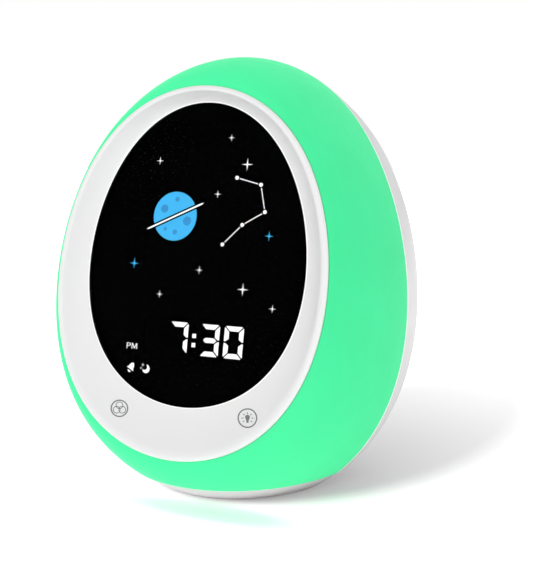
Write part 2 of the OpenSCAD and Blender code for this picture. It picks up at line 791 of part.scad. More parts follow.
ribbon_w = 14;
ribbon_t = 0.8;
ribbon_shift = 6;
ribbon_rows = 12;
module ribbon_cable() {
    drop = frame_z - main_z;
    side = [for (i = [0:ribbon_rows]) let (t = i / ribbon_rows)
        [main_y - ribbon_shift * cos(180 * t), frame_z - drop * t]];
    shifted = [for (p = reversed(side)) [p[0] + ribbon_t, p[1]]];
    color([0.75, 0.75, 0.78]) on_face() translate([-ribbon_w / 2, 0, 0])
        rotate([90, 0, 90]) linear_extrude(ribbon_w) polygon(concat(side, shifted));
}

// ---- rear cover ----

grille_rings = 3;
// Finger notch above the battery door
notch_d = 14;
notch_depth = 1.2;
case_head_depth = 5;
socket_edge = 0.3;
button_xs = [for (i = [-2.5:1:2.5]) i * button_pitch];
speaker_ear_r = speaker_d / 2 + 3.2;
speaker_ear_angles = [90, 210, 330];
speaker_boss_d = 4.6;
button_flange_t = 1;
switch_top_z = inner_z + play + button_flange_t + button_travel + play + 0.3;
button_board_z = switch_top_z + switch_h;
button_board_size = [61, 11.4];
button_board_drop = 0.3;
button_board_y = button_y - button_board_drop;
button_screw_drop = 4;
button_board_spots = [for (side = [-1, 1]) [side * 2 * button_pitch, button_board_y - button_screw_drop]];
board_boss_d = 4.2;
usb_z = back_z + 0.4;
power_board_z = usb_z + usb_l;
power_board_size = [23, 10.4];
power_board_drop = 1.4;
power_board_y = usb_y - power_board_drop;
power_board_spots = [for (side = [-1, 1]) [side * 8.4, power_board_y]];
function ear_spot(a) = [speaker_ear_r * cos(a), speaker_y + speaker_ear_r * sin(a)];

module slot_shape(w, h) {
    square([w - h, h], center = true);
    for (x = [-1, 1]) translate([x * (w - h) / 2, 0]) circle(d = h);
}
// The door's outline and what lies round it: rounded above, square at the hinge
module door_shape(edge) {
    w = door_w + 2 * edge;
    h = door_h + 2 * edge;
    translate([0, door_y]) {
        rounded_square(w, h, door_corner);
        translate([-w / 2, -h / 2]) square([w, h / 2]);
    }
}
module panel_boss(p, d, top_z) {
    rod(p[0], p[1], inner_z - EPS, d, top_z - inner_z + EPS);
}
// Hole for a small screw whose head is seated at seat_z, a little deeper than the screw
PILOT_ROOM = 0.2;
module pilot_hole(p, seat_z, l) {
    rod(p[0], p[1], seat_z - l - PILOT_ROOM, pilot(small_screw_d), l + PILOT_ROOM);
}
module grille_holes() {
    for (r = [0:grille_rings]) for (i = [0:max(6 * r - 1, 0)])
        rotate([0, 0, 60 * i / max(r, 1)]) translate([r * grille_pitch, 0]) circle(d = grille_hole_d);
}

module rear_cover() {
    tongue = grown(seam, -wall - 2 * fit);
    tongue_in = grown(tongue, -tongue_t);
    inner = cover_sections(wall);
    first_in = [[tongue_in, -seam_depth - wall], [tongue_in, -seam_depth + tongue_l],
        [tongue, -seam_depth + tongue_l], [tongue, -seam_depth]];
    inside = [for (i = [len(inner) - 1:-1:1]) inner[i]];
    color([0.92, 0.91, 0.92]) difference() {
        union() {
            on_face() {
                skin(concat(inside, first_in, cover_sections(0)), false);
                for (p = case_spots) panel_boss(p, boss_d, post_end_z);
                for (a = speaker_ear_angles) panel_boss(ear_spot(a), speaker_boss_d, inner_z + gasket_t);
                for (p = button_board_spots) panel_boss(p, board_boss_d, button_board_z);
                for (p = power_board_spots) panel_boss(p, board_boss_d, power_board_z);
                for (p = box_screw_spots) panel_boss(p, board_boss_d, box_ear_z);
            }
        }
        below(foot_h);
        on_face() {
            translate([0, 0, back_z - EPS]) {
                linear_extrude(wall + 2 * EPS) {
                    translate([0, speaker_y]) grille_holes();
                    for (x = button_xs) translate([x, button_y]) circle(d = button_d + 2 * play);
                    door_shape(play);
                    translate([0, usb_y])
                        slot_shape(usb_w + 2 * socket_edge, usb_h + 2 * socket_edge);
                }
                for (p = case_spots) {
                    rod(p[0], p[1], 0, case_recess_d, case_head_depth + EPS);
                    rod(p[0], p[1], 0, case_hole_d, wall + case_boss_h + 2 * EPS);
                }
            }
            rod(0, door_top, back_z - EPS, notch_d, notch_depth + EPS);
            for (a = speaker_ear_angles)
                pilot_hole(ear_spot(a), inner_z + gasket_t + speaker_t, speaker_screw_l);
            for (p = button_board_spots) pilot_hole(p, button_board_z + board_t, small_screw_l);
            for (p = power_board_spots) pilot_hole(p, power_board_z + board_t, small_screw_l);
            for (p = box_screw_spots) pilot_hole(p, box_ear_z + box_flange_t, small_screw_l);
        }
    }
}

module case_screws() {
    color("silver") on_face() for (p = case_spots)
        translate([p[0], p[1], back_z + case_head_depth]) mirror([0, 0, 1])
            screw(case_screw_d, case_screw_l);
}

// ---- speaker ----

flange_w = 3;
speaker_t = 1;
cone_t = 0.4;
cone_lift = 0.4;
cone_edge = 0.5;
// Room between the cone's narrow end and the back of the basket
cone_room = 2.4;
cap_in = 6;
speaker_screw_l = 2;
speaker_ear_w = 4.8;
module speaker_outline() {
    circle(d = speaker_d);
    for (a = speaker_ear_angles) rotate([0, 0, a]) {
        translate([speaker_ear_r / 2, 0]) square([speaker_ear_r, speaker_ear_w], center = true);
        translate([speaker_ear_r, 0]) circle(d = speaker_ear_w);
    }
}
module at_speaker(z) {
    on_face() translate([0, speaker_y, z]) children();
}
module speaker_gasket() {
    color([0.15, 0.15, 0.15]) at_speaker(inner_z) linear_extrude(gasket_t) difference() {
        circle(d = speaker_d);
        circle(d = speaker_d - 2 * flange_w);
    }
}
module speaker_frame() {
    inner_d = speaker_d - 2 * flange_w;
    color([0.3, 0.3, 0.32]) at_speaker(inner_z + gasket_t) difference() {
        union() {
            linear_extrude(speaker_t) speaker_outline();
            cylinder(d1 = inner_d + 2, d2 = magnet_d, h = basket_h);
        }
        translate([0, 0, -EPS]) cylinder(d1 = inner_d, d2 = magnet_d - 2, h = basket_h - speaker_t);
        for (a = speaker_ear_angles) rotate([0, 0, a])
            rod(speaker_ear_r, 0, -EPS, small_hole_d, speaker_t + 2 * EPS);
    }
}
module speaker_cone() {
    wide = speaker_d - 2 * flange_w - 2 * cone_edge;
    color([0.12, 0.12, 0.12]) at_speaker(inner_z + gasket_t + cone_lift) difference() {
        cylinder(d1 = wide, d2 = magnet_d - cap_in, h = basket_h - cone_room);
        translate([0, 0, -cone_t])
            cylinder(d1 = wide, d2 = magnet_d - cap_in, h = basket_h - cone_room);
    }
}
module speaker_magnet() {
    color("silver") at_speaker(inner_z + gasket_t + basket_h) cylinder(d = magnet_d, h = magnet_h);
}
module speaker_screws() {
    color("silver") on_face() for (a = speaker_ear_angles) let (p = ear_spot(a))
        translate([p[0], p[1], inner_z + gasket_t + speaker_t]) screw(small_screw_d, speaker_screw_l);
}
// How far each pair of leads keeps on straight at its two ends
speaker_lead_run = [14, 20];
speaker_lead_in = 0.95;
module speaker_leads() {
    start = connector_end(0);
    finish = [-speaker_d / 2 + speaker_lead_in, speaker_y, inner_z + gasket_t + speaker_t];
    color("red") on_face() lead_pair(start, start - [0, 0, speaker_lead_run[0]],
        finish + [0, 0, speaker_lead_run[1]], finish);
}

// ---- buttons ----

button_flange_d = button_d + 2 * play + 1.4;
stem_d = 3;
stem_in = 1;
switch_bore_d = stem_d + 2 * play;
switch_side = 6;
button_edge = 0.6;
module button(index, shade) {
    x = button_xs[index];
    top_z = back_z - button_rise;
    flange_z = inner_z + play;
    color(shade) on_face() {
        rod(x, button_y, top_z + button_edge, button_d, flange_z - top_z - button_edge + EPS);
        translate([x, button_y, top_z])
            cylinder(d1 = button_d - 2 * button_edge, d2 = button_d, h = button_edge + EPS);
        rod(x, button_y, flange_z, button_flange_d, button_flange_t);
        rod(x, button_y, flange_z, stem_d, switch_top_z + stem_in - flange_z);
    }
}
module mode_button() { button(0, [0.85, 0.85, 0.87]); }
module set_button() { button(1, [0.85, 0.85, 0.87]); }
module down_button() { button(2, [0.85, 0.85, 0.87]); }
module up_button() { button(3, [0.85, 0.85, 0.87]); }
module alarm_button() { button(4, [0.85, 0.85, 0.87]); }
module sound_button() { button(5, [0.85, 0.85, 0.87]); }

module button_board() {
    color([0.05, 0.35, 0.15]) on_face() difference() {
        brick(0, button_board_y, button_board_z, [button_board_size[0], button_board_size[1], board_t]);
        for (p = button_board_spots)
            rod(p[0], p[1], button_board_z - EPS, small_hole_d, board_t + 2 * EPS);
    }
}
module tact_switches() {
    color([0.12, 0.12, 0.12]) on_face() for (x = button_xs) difference() {
        brick(x, button_y, switch_top_z, [switch_side, switch_side, switch_h]);
        rod(x, button_y, switch_top_z - EPS, switch_bore_d, stem_in + button_travel + play + 0.1);
    }
}
module button_board_screws() {
    color("silver") on_face() for (p = button_board_spots)
        translate([p[0], p[1], button_board_z + board_t]) screw(small_screw_d, small_screw_l);
}
button_lead_run = [10, 10];
button_lead_place = [8, 2];
module button_leads() {
    start = connector_end(1);
    finish = [button_lead_place[0], button_y + button_lead_place[1], button_board_z + board_t];
    color("goldenrod") on_face() lead_pair(start, start - [0, 0, button_lead_run[0]],
        finish + [0, 0, button_lead_run[1]], finish);
}

// ---- batteries ----

cell_room = 0.4;
tray_z = inner_z + box_flange_t + cell_d + cell_room;
cell_z = inner_z + play + cell_d / 2;
box_ear_up = 10;
box_ear_h = 4;
box_ear_out = 2.8;
box_ear_w = 5.6;
box_ear_y = battery_y + box_ear_up;
box_ear_z = inner_z + box_ear_h;
box_ear_x = door_w / 2 + box_flange_edge + box_ear_out;
box_screw_spots = [[-box_ear_x, box_ear_y], [box_ear_x, box_ear_y]];
// Fin on the door that holds in a slot of the battery box
catch_in = 4;
catch_y = door_top - catch_in;
catch_size = [14, 1.2, 3.2];
// Room over the fin for its swing
catch_swing = 0.3;
tab_x = 15;
tab_w = 6;
tab_stem = [0.6, 1.8];
tab_hook = -0.8;
tab_hook_z = wall + box_flange_t + play;
tab_hook_t = 0.8;
// Slot that a tab goes through, from its lower to its upper end above the door's edge
tab_slot = [0.1, 4.7];
cell_ys = [for (i = [-1, 0, 1]) battery_y + i * (cell_d + cell_gap)];

module battery_box() {
    color([0.2, 0.2, 0.22]) on_face() difference() {
        union() {
            plate(inner_z, box_flange_t) translate([0, door_y])
                rounded_square(door_w + 2 * box_flange_edge, door_h + 2 * box_flange_edge,
                    door_corner + box_flange_edge);
            brick(0, battery_y, inner_z,
                [tray_w + 2 * box_wall, cells_h + 2 * box_wall, tray_z + box_wall - inner_z]);
            for (side = [-1, 1])
                brick(side * (box_ear_x + box_ear_w / 2 + tray_w / 2) / 2, box_ear_y, box_ear_z,
                    [box_ear_x + box_ear_w / 2 - tray_w / 2, box_ear_w, box_flange_t]);
        }
        for (p = box_screw_spots)
            rod(p[0], p[1], box_ear_z - EPS, small_hole_d, box_flange_t + 2 * EPS);
        brick(0, battery_y, inner_z - EPS, [tray_w, cells_h, tray_z - inner_z]);
        brick(0, catch_y + catch_swing / 2, inner_z - EPS,
            [catch_size[0] + 2 * play, catch_size[1] + 2 * play + catch_swing, box_flange_t + 2 * EPS]);
        for (x = [-tab_x, tab_x])
            brick(x, door_bottom + (tab_slot[0] + tab_slot[1]) / 2, inner_z - EPS,
                [tab_w + 2 * play, tab_slot[1] - tab_slot[0], box_flange_t + 2 * EPS]);
    }
}
module battery_cells() {
    tip_d = 3.8;
    tip_l = 0.8;
    color([0.1, 0.35, 0.6]) on_face() for (i = [0:2]) let (turn = i % 2 == 0 ? 0 : 180)
        translate([0, cell_ys[i], cell_z]) rotate([0, 0, turn]) rotate([0, 90, 0]) {
            translate([0, 0, -cell_l / 2]) cylinder(d = cell_d, h = cell_l - tip_l);
            translate([0, 0, cell_l / 2 - tip_l - EPS]) cylinder(d = tip_d, h = tip_l + EPS);
        }
}
plate_t = 0.4;
contact_h = 8;
battery_spring_d = 7;
battery_spring_tip_d = 4.4;
spring_slack = 0.1;
module battery_springs() {
    spring_l = contact_room - plate_t - spring_slack;
    color("silver") on_face() for (i = [0:2]) let (side = i % 2 == 0 ? -1 : 1)
        translate([side * (tray_w / 2 - plate_t), cell_ys[i], cell_z]) rotate([0, -side * 90, 0])
            cylinder(d1 = battery_spring_d, d2 = battery_spring_tip_d, h = spring_l);
}
module contact_plates() {
    color("silver") on_face() for (y = cell_ys) for (side = [-1, 1])
        brick(side * (tray_w - plate_t) / 2, y, cell_z - contact_h / 2, [plate_t, contact_h, contact_h]);
}
module battery_box_screws() {
    color("silver") on_face() for (p = box_screw_spots)
        translate([p[0], p[1], box_ear_z + box_flange_t]) screw(small_screw_d, small_screw_l);
}
battery_lead_run = [6, 7];
battery_lead_place = [-18, 4];
module battery_leads() {
    start = connector_end(2);
    finish = [battery_lead_place[0], battery_y + battery_lead_place[1], tray_z + box_wall];
    color("red") on_face() lead_pair(start, start - [0, 0, battery_lead_run[0]],
        finish + [0, 0, battery_lead_run[1]], finish);
}
module battery_door() {
    color([0.92, 0.91, 0.92]) on_face() {
        plate(back_z, door_t) difference() {
            door_shape(0);
            translate([-door_w, door_bottom - EPS]) square([2 * door_w, hinge_r + EPS]);
        }
        translate([-door_w / 2, hinge_y, hinge_z]) rotate([0, 90, 0]) cylinder(r = hinge_r, h = door_w);
        for (x = [-tab_x, tab_x]) {
            brick(x, door_bottom + (tab_stem[0] + tab_stem[1]) / 2, back_z + door_t - EPS,
                [tab_w, tab_stem[1] - tab_stem[0], tab_hook_z + tab_hook_t - door_t + EPS]);
            brick(x, door_bottom + (tab_hook + tab_stem[1]) / 2, back_z + tab_hook_z,
                [tab_w, tab_stem[1] - tab_hook, tab_hook_t]);
        }
        brick(0, catch_y, back_z + door_t - EPS, catch_size + [0, 0, EPS]);
    }
}

// ---- power socket ----

usb_wall = 0.3;
usb_back = 1;
usb_tongue_in = 0.6;
usb_tongue_w = 6.6;
usb_tongue_h = 0.7;
module usb_socket() {
    color("silver") on_face() translate([0, usb_y, usb_z]) {
        difference() {
            linear_extrude(usb_l) slot_shape(usb_w, usb_h);
            translate([0, 0, -EPS]) linear_extrude(usb_l - usb_back)
                slot_shape(usb_w - 2 * usb_wall, usb_h - 2 * usb_wall);
        }
        brick(0, 0, usb_tongue_in, [usb_tongue_w, usb_tongue_h, usb_l - usb_back]);
    }
}
module power_board() {
    color([0.05, 0.35, 0.15]) on_face() difference() {
        brick(0, power_board_y, power_board_z, [power_board_size[0], power_board_size[1], board_t]);
        for (p = power_board_spots)
            rod(p[0], p[1], power_board_z - EPS, small_hole_d, board_t + 2 * EPS);
    }
}
module power_board_screws() {
    color("silver") on_face() for (p = power_board_spots)
        translate([p[0], p[1], power_board_z + board_t]) screw(small_screw_d, small_screw_l);
}
power_lead_run = [16, 22];
module power_leads() {
    start = connector_end(3);
    finish = [0, power_board_y, power_board_z + board_t];
    color("red") on_face() lead_pair(start, start - [0, 0, power_lead_run[0]],
        finish + [0, 0, power_lead_run[1]], finish);
}

// ---- base ----

pad_spots = [[-17, -10], [17, -10], [-15, 17.5], [15, 17.5]];
base_head_room = 0.3;
base_head_h = case_screw_d * HEAD_H_SHARE + base_head_room;
module base_foot() {
    color([0.92, 0.91, 0.92]) difference() {
        union() {
            difference() {
                intersection() {
                    on_face() envelope(foot_inset);
                    slab(foot_gap, foot_h);
                }
                intersection() {
                    on_face() envelope(foot_inset + wall);
                    slab(foot_gap + foot_floor, foot_h + 1);
                }
            }
            for (p = base_spots) rod(p[0], foot_y + p[1], foot_gap, base_boss_d + 1, foot_h - foot_gap);
        }
        for (p = pad_spots)
            rod(p[0], foot_y + p[1], foot_gap - EPS, pad_d + 2 * fit, pad_t - foot_gap + EPS);
        for (p = base_spots) {
            rod(p[0], foot_y + p[1], foot_gap - EPS, case_hole_d, foot_h);
            rod(p[0], foot_y + p[1], foot_gap - EPS, case_recess_d, base_head_h + EPS);
        }
    }
}
module foot_pads() {
    color([0.15, 0.15, 0.16]) for (p = pad_spots) rod(p[0], foot_y + p[1], 0, pad_d, pad_t);
}
base_screw_l = 10;
module base_screws() {
    color("silver") for (p = base_spots)
        translate([p[0], foot_y + p[1], foot_gap + base_head_h])
            mirror([0, 0, 1]) screw(case_screw_d, base_screw_l);
}

front_bezel();
display_lens();
lens_tape();
picture_film();
light_box();
digit_module();
digit_segments();
picture_leds();
display_board();
touch_springs();
light_board();
mood_leds();
bezel_screws();
inner_frame();
diffuser_shell();
main_board();
main_chip();
sound_chip();
capacitors();
crystal();
lead_connectors();
main_board_screws();
ribbon_cable();
rear_cover();
case_screws();
speaker_gasket();
speaker_frame();
speaker_cone();
speaker_magnet();
speaker_screws();
speaker_leads();
mode_button();
set_button();
down_button();
up_button();
alarm_button();
sound_button();
button_board();
tact_switches();
button_board_screws();
button_leads();
battery_box();
battery_cells();
battery_springs();
contact_plates();
battery_box_screws();
battery_leads();
battery_door();
usb_socket();
power_board();
power_board_screws();
power_leads();
base_foot();
foot_pads();
base_screws();
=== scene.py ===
import json
from math import atan2, cos, degrees, hypot, pi, radians, sin, sqrt

import bmesh
import bpy
from mathutils import Matrix, Vector
from mathutils.bvhtree import BVHTree


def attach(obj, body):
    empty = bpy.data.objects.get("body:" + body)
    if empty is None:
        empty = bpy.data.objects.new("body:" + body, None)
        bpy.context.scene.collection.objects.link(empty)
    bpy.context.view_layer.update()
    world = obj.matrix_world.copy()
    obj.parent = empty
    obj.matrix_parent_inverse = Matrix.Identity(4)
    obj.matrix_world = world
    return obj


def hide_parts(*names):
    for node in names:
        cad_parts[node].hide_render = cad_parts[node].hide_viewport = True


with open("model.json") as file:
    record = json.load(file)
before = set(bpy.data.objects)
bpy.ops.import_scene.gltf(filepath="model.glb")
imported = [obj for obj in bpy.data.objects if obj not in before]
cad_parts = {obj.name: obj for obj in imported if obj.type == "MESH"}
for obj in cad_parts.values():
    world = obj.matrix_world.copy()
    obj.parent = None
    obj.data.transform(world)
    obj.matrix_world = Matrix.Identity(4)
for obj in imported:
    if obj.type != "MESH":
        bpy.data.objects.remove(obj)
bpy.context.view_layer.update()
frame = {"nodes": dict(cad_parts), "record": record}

scene = bpy.context.scene

# ---- sizes in millimetres, as in the part's source ----
# The face leans back by TILT, and its middle lies this far before the origin and over the table.
# Its x and y lie in the plane of the ring's outer edge, and its z points out of it.
TILT = radians(11.6)
FORWARD, HEIGHT = 36.8, 71.3
FACE = (Matrix.Translation((0, -FORWARD / 1000, HEIGHT / 1000)) @ Matrix.Rotation(pi / 2 - TILT, 4, "X")
        @ Matrix.Scale(0.001, 4))
TABLE = Matrix.Scale(0.001, 4)
# The ring, the window in it, and the layers behind the window
RING_W, RING_H = 90, 111
LIP_RISE, LIP_W = 1.0, 1.6
WINDOW_W, WINDOW_H = 72.8, 91.2
RECESS, LEDGE_T, LEDGE_W = 3.8, 0.8, 0.9
TAPE_T, LENS_T, FILM_T = 0.2, 1.5, 0.3
# The seam between the two shells, how round the glowing one is, and the rear panel as a share of the seam
SEAM_W, SEAM_H, SEAM_DEPTH = 110.4, 145.8, 41.4
SEAM_TAPER, SEAM_SQUARE, SEAM_SHIFT = 0.146, 0.034, 1
BULGE, WALL = 1.64, 2.0
REAR_DEPTH, REAR_SHARE, REAR_SHIFT = 31.1, 0.806, 11.8
# The foot's top, its gap to the table and how far it lies inside the shells
FOOT_H, FOOT_GAP, FOOT_INSET = 6.2, 0.3, 0.3
# Gaps round a piece that is pushed in, and round one that moves
FIT, PLAY = 0.15, 0.3
# Depths of the layers behind the window, and of the rear panel's two faces
LEDGE_Z = -RECESS - LEDGE_T
LENS_Z = LEDGE_Z - TAPE_T
FILM_Z = LENS_Z - LENS_T
CELLS_Z = FILM_Z - FILM_T
BACK_Z = -SEAM_DEPTH - REAR_DEPTH
INNER_Z = BACK_Z + WALL

# The smooth skins lie this far inside the source's own, and each has this many points round it
SKIN = 0.02
STEPS = 288
# Stretches in the round end of a slot, and in a round corner of the battery door
END_STEPS, CORNER_STEPS = 16, 8


def outline(w, h, taper, square, shift):
    """An egg: its half width and half height, its taper and squareness, and how far up its middle lies."""
    return (w / 2, h / 2, w / 2 * taper, w / 2 * square, shift)


def grown(o, d):
    return (o[0] + d, o[1] + d, o[2], o[3], o[4])


def mixed(a, b, t):
    return tuple(p * (1 - t) + q * t for p, q in zip(a, b))


def rim_point(o, a):
    s = sin(a)
    return (cos(a) * (o[0] - o[2] * s + o[3] * s * s), o[1] * s + o[4])


def rim_loop(o, n):
    return [rim_point(o, 2 * pi * i / n) for i in range(n)]


RING = outline(RING_W, RING_H, 0.044, 0.07, 0)
WINDOW = outline(WINDOW_W, WINDOW_H, 0.091, 0.052, 5.6)
SEAM = outline(SEAM_W, SEAM_H, SEAM_TAPER, SEAM_SQUARE, SEAM_SHIFT)
PANEL = outline(SEAM_W * REAR_SHARE, SEAM_H * REAR_SHARE, SEAM_TAPER, SEAM_SQUARE, SEAM_SHIFT + REAR_SHIFT)
GROWTH = ((SEAM_W - RING_W) + (SEAM_H - RING_H)) / 4
SHRINK = (SEAM_W + SEAM_H) * (1 - REAR_SHARE) / 4


def shell_section(a, t):
    """Outline and depth of the glowing shell, t inside its skin, from the ring at 0 to the seam at pi / 2."""
    out, left = max(sin(a), 0) ** (2 / BULGE), max(cos(a), 0) ** (2 / BULGE)
    n = (out ** (BULGE - 1) / GROWTH, left ** (BULGE - 1) / SEAM_DEPTH)
    k = t / hypot(*n)
    return grown(mixed(RING, SEAM, out), -k * n[0]), -SEAM_DEPTH * (1 - left) - k * n[1]


def cover_section(a, t):
    """Outline and depth of the rear cover, t inside its skin, from the seam at 0 to the panel at pi / 2."""
    n = (cos(a) / SHRINK, sin(a) / REAR_DEPTH)
    k = t / hypot(*n)
    return grown(mixed(SEAM, PANEL, 1 - cos(a)), -k * n[0]), -SEAM_DEPTH - REAR_DEPTH * sin(a) + k * n[1]


def turned(section, t, count):
    return [section(pi / 2 * i / count, t) for i in range(count + 1)]


# ---- materials: their own lengths are in metres ----
def srgb(*levels):
    """A colour given in levels from 0 to 255, in the linear values that a node takes."""
    linear = [((v / 255 + 0.055) / 1.055) ** 2.4 if v > 10 else v / 255 / 12.92 for v in levels]
    return (*linear, 1.0)


def shade(colour, k):
    return tuple(min(1.0, v * k) for v in colour[:3]) + (1.0,)


class Nodes:
    """A short way to write the nodes of a material or of the world."""

    def __init__(self, owner, shader):
        owner.use_nodes = True
        self.owner = owner
        self.tree = owner.node_tree
        self.shader = self.tree.nodes[shader]

    def put(self, node, socket, value):
        """Gives a socket, named or counted, a value or another node's output."""
        if isinstance(value, bpy.types.NodeSocket):
            self.tree.links.new(value, node.inputs[socket])
        else:
            node.inputs[socket].default_value = value

    def add(self, kind, settings=None, **inputs):
        node = self.tree.nodes.new(kind)
        for key, value in (settings or {}).items():
            setattr(node, key, value)
        for key, value in inputs.items():
            self.put(node, key.replace("_", " "), value)
        return node

    def set(self, **inputs):
        for key, value in inputs.items():
            self.put(self.shader, key.replace("_", " "), value)

    def math(self, operation, *values):
        node = self.add("ShaderNodeMath", {"operation": operation})
        for i, value in enumerate(values):
            self.put(node, i, value)
        return node.outputs["Value"]

    def place(self):
        return self.add("ShaderNodeTexCoord").outputs["Object"]

    def noise(self, scale, detail=3.0, rough=0.5):
        place = self.place()
        node = self.add("ShaderNodeTexNoise", Vector=place, Scale=scale, Detail=detail, Roughness=rough)
        return node.outputs["Fac"]

    def ramp(self, fac, stops):
        node = self.add("ShaderNodeValToRGB", Fac=fac)
        band = node.color_ramp
        while len(band.elements) < len(stops):
            band.elements.new(0.5)
        for spot, (at, colour) in zip(band.elements, stops):
            spot.position = at
            spot.color = colour if isinstance(colour, tuple) else (colour, colour, colour, 1)
        return node.outputs["Color"]

    def spread(self, value, low, high):
        """The value's place between low and high, from 0 to 1."""
        return self.add("ShaderNodeMapRange", Value=value, From_Min=low, From_Max=high).outputs["Result"]

    def bump(self, height, strength, distance):
        node = self.add("ShaderNodeBump", Height=height, Strength=strength, Distance=distance)
        return node.outputs["Normal"]

    def seen(self):
        """1 for what is seen, straight, mirrored or through a clear piece, and 0 for bounced light."""
        ray = self.add("ShaderNodeLightPath")
        most = ray.outputs["Is Camera Ray"]
        for kind in ("Is Glossy Ray", "Is Transmission Ray"):
            most = self.math("MAXIMUM", most, ray.outputs[kind])
        return most


def material(name):
    return Nodes(bpy.data.materials.new(name), "Principled BSDF")


def plastic(name, colour, rough, grain, depth=0.00003, vary=0.03, spec=0.5, coat=0.0):
    """Moulded plastic: a fine spark-eroded grain, soft blotches of colour and gloss."""
    m = material(name)
    blotch = m.noise(55, 4.0)
    m.set(Base_Color=m.ramp(blotch, [(0.3, shade(colour, 1 - vary)), (0.7, shade(colour, 1 + vary))]))
    m.set(Roughness=m.ramp(m.noise(160, 5.0), [(0.3, rough * 0.88), (0.7, min(1.0, rough * 1.12))]))
    m.set(Normal=m.bump(m.noise(grain, 2.0, 0.6), 0.25, depth))
    m.set(Specular_IOR_Level=spec, Coat_Weight=coat)
    return m.owner


def metal(name, colour, rough):
    """Plated steel with fine scratches that run one way."""
    m = material(name)
    stretched = m.add("ShaderNodeMapping", Vector=m.place(), Scale=(1.0, 1.0, 14.0)).outputs["Vector"]
    lines = m.add("ShaderNodeTexNoise", Vector=stretched, Scale=900, Detail=4.0).outputs["Fac"]
    m.set(Base_Color=m.ramp(m.noise(120), [(0.3, shade(colour, 0.9)), (0.7, shade(colour, 1.06))]))
    m.set(Roughness=m.ramp(lines, [(0.3, rough * 0.75), (0.7, rough * 1.3)]), Metallic=1.0)
    m.set(Normal=m.bump(lines, 0.2, 0.00002))
    return m.owner


def glow(name, colour, strength, base):
    """A lit print, or painted light on an edge: its ink and its light have the same colour. The ink is
    darkened to the share base.
    """
    m = material(name)
    lit = m.ramp(m.noise(180, 2.0), [(0.25, shade(colour, 0.93)), (0.75, colour)])
    m.set(Base_Color=shade(colour, base), Emission_Color=lit, Emission_Strength=strength, Roughness=0.5)
    return m.owner


def board_mat():
    """Solder-masked board with faint tracks under the mask."""
    m = material("board_green")
    mask, second_mask, track = srgb(18, 84, 44), srgb(22, 96, 50), srgb(38, 122, 66)
    tracks = m.add("ShaderNodeTexBrick", {"offset": 0.5}, Vector=m.place(), Scale=260.0, Mortar_Size=0.03,
                   Color1=mask, Color2=second_mask, Mortar=track)
    m.set(Base_Color=tracks.outputs["Color"], Normal=m.bump(tracks.outputs["Fac"], 0.3, 0.00003))
    m.set(Roughness=m.ramp(m.noise(200), [(0.3, 0.3), (0.7, 0.42)]))
    return m.owner


def shell_mat():
    """Frosted plastic lit from inside: bright low on its left, deeper towards the right and the top."""
    m = material("frosted_glow")
    split = m.add("ShaderNodeSeparateXYZ", Vector=m.place())
    lean = m.math("MULTIPLY_ADD", split.outputs["Z"], 0.12, split.outputs["X"])
    side = m.spread(lean, 0.0008, 0.0668)
    cloud = m.math("MULTIPLY_ADD", m.noise(38, 2.0), 0.10, side)
    bright, even, deep = srgb(84, 240, 166), srgb(82, 231, 158), srgb(72, 201, 138)
    m.set(Emission_Color=m.ramp(cloud, [(0.0, bright), (0.5, even), (1.0, deep)]), Emission_Strength=0.62)
    m.set(Base_Color=m.ramp(m.noise(60), [(0.3, srgb(44, 172, 112)), (0.7, srgb(46, 178, 118))]))
    m.set(Roughness=m.ramp(m.noise(300, 4.0), [(0.3, 0.42), (0.7, 0.52)]))
    m.set(Normal=m.bump(m.noise(3000, 2.0, 0.6), 0.2, 0.00002), Specular_IOR_Level=0.05)
    return m.owner


def cell_mat():
    """A battery cell: a printed sleeve with a pale band near each end, and bare steel past the sleeve."""
    half_length = 0.02225
    m = material("cell_sleeve")
    along = m.add("ShaderNodeSeparateXYZ", Vector=m.place()).outputs["X"]
    spot = m.spread(m.math("ABSOLUTE", along), 0.0, half_length)
    sleeve, band, steel = srgb(30, 88, 150), srgb(196, 200, 206), (0.66, 0.66, 0.68, 1)
    m.set(Base_Color=m.ramp(spot, [(0.0, sleeve), (0.62, sleeve), (0.63, band), (0.68, band), (0.69, sleeve),
                                   (0.95, sleeve), (0.96, steel)]))
    m.set(Metallic=m.ramp(spot, [(0.95, 0.0), (0.96, 1.0)]))
    m.set(Roughness=m.ramp(m.noise(240, 3.0), [(0.3, 0.24), (0.7, 0.32)]))
    m.set(Normal=m.bump(m.noise(90, 2.0), 0.15, 0.00002))
    return m.owner


def lens_mat():
    """Clear hard lens with a coating that keeps its reflections low."""
    m = material("clear_lens")
    m.set(Base_Color=(0.97, 0.97, 0.98, 1), Transmission_Weight=1.0, IOR=1.03)
    m.set(Roughness=m.ramp(m.noise(90), [(0.3, 0.006), (0.7, 0.012)]))
    return m.owner


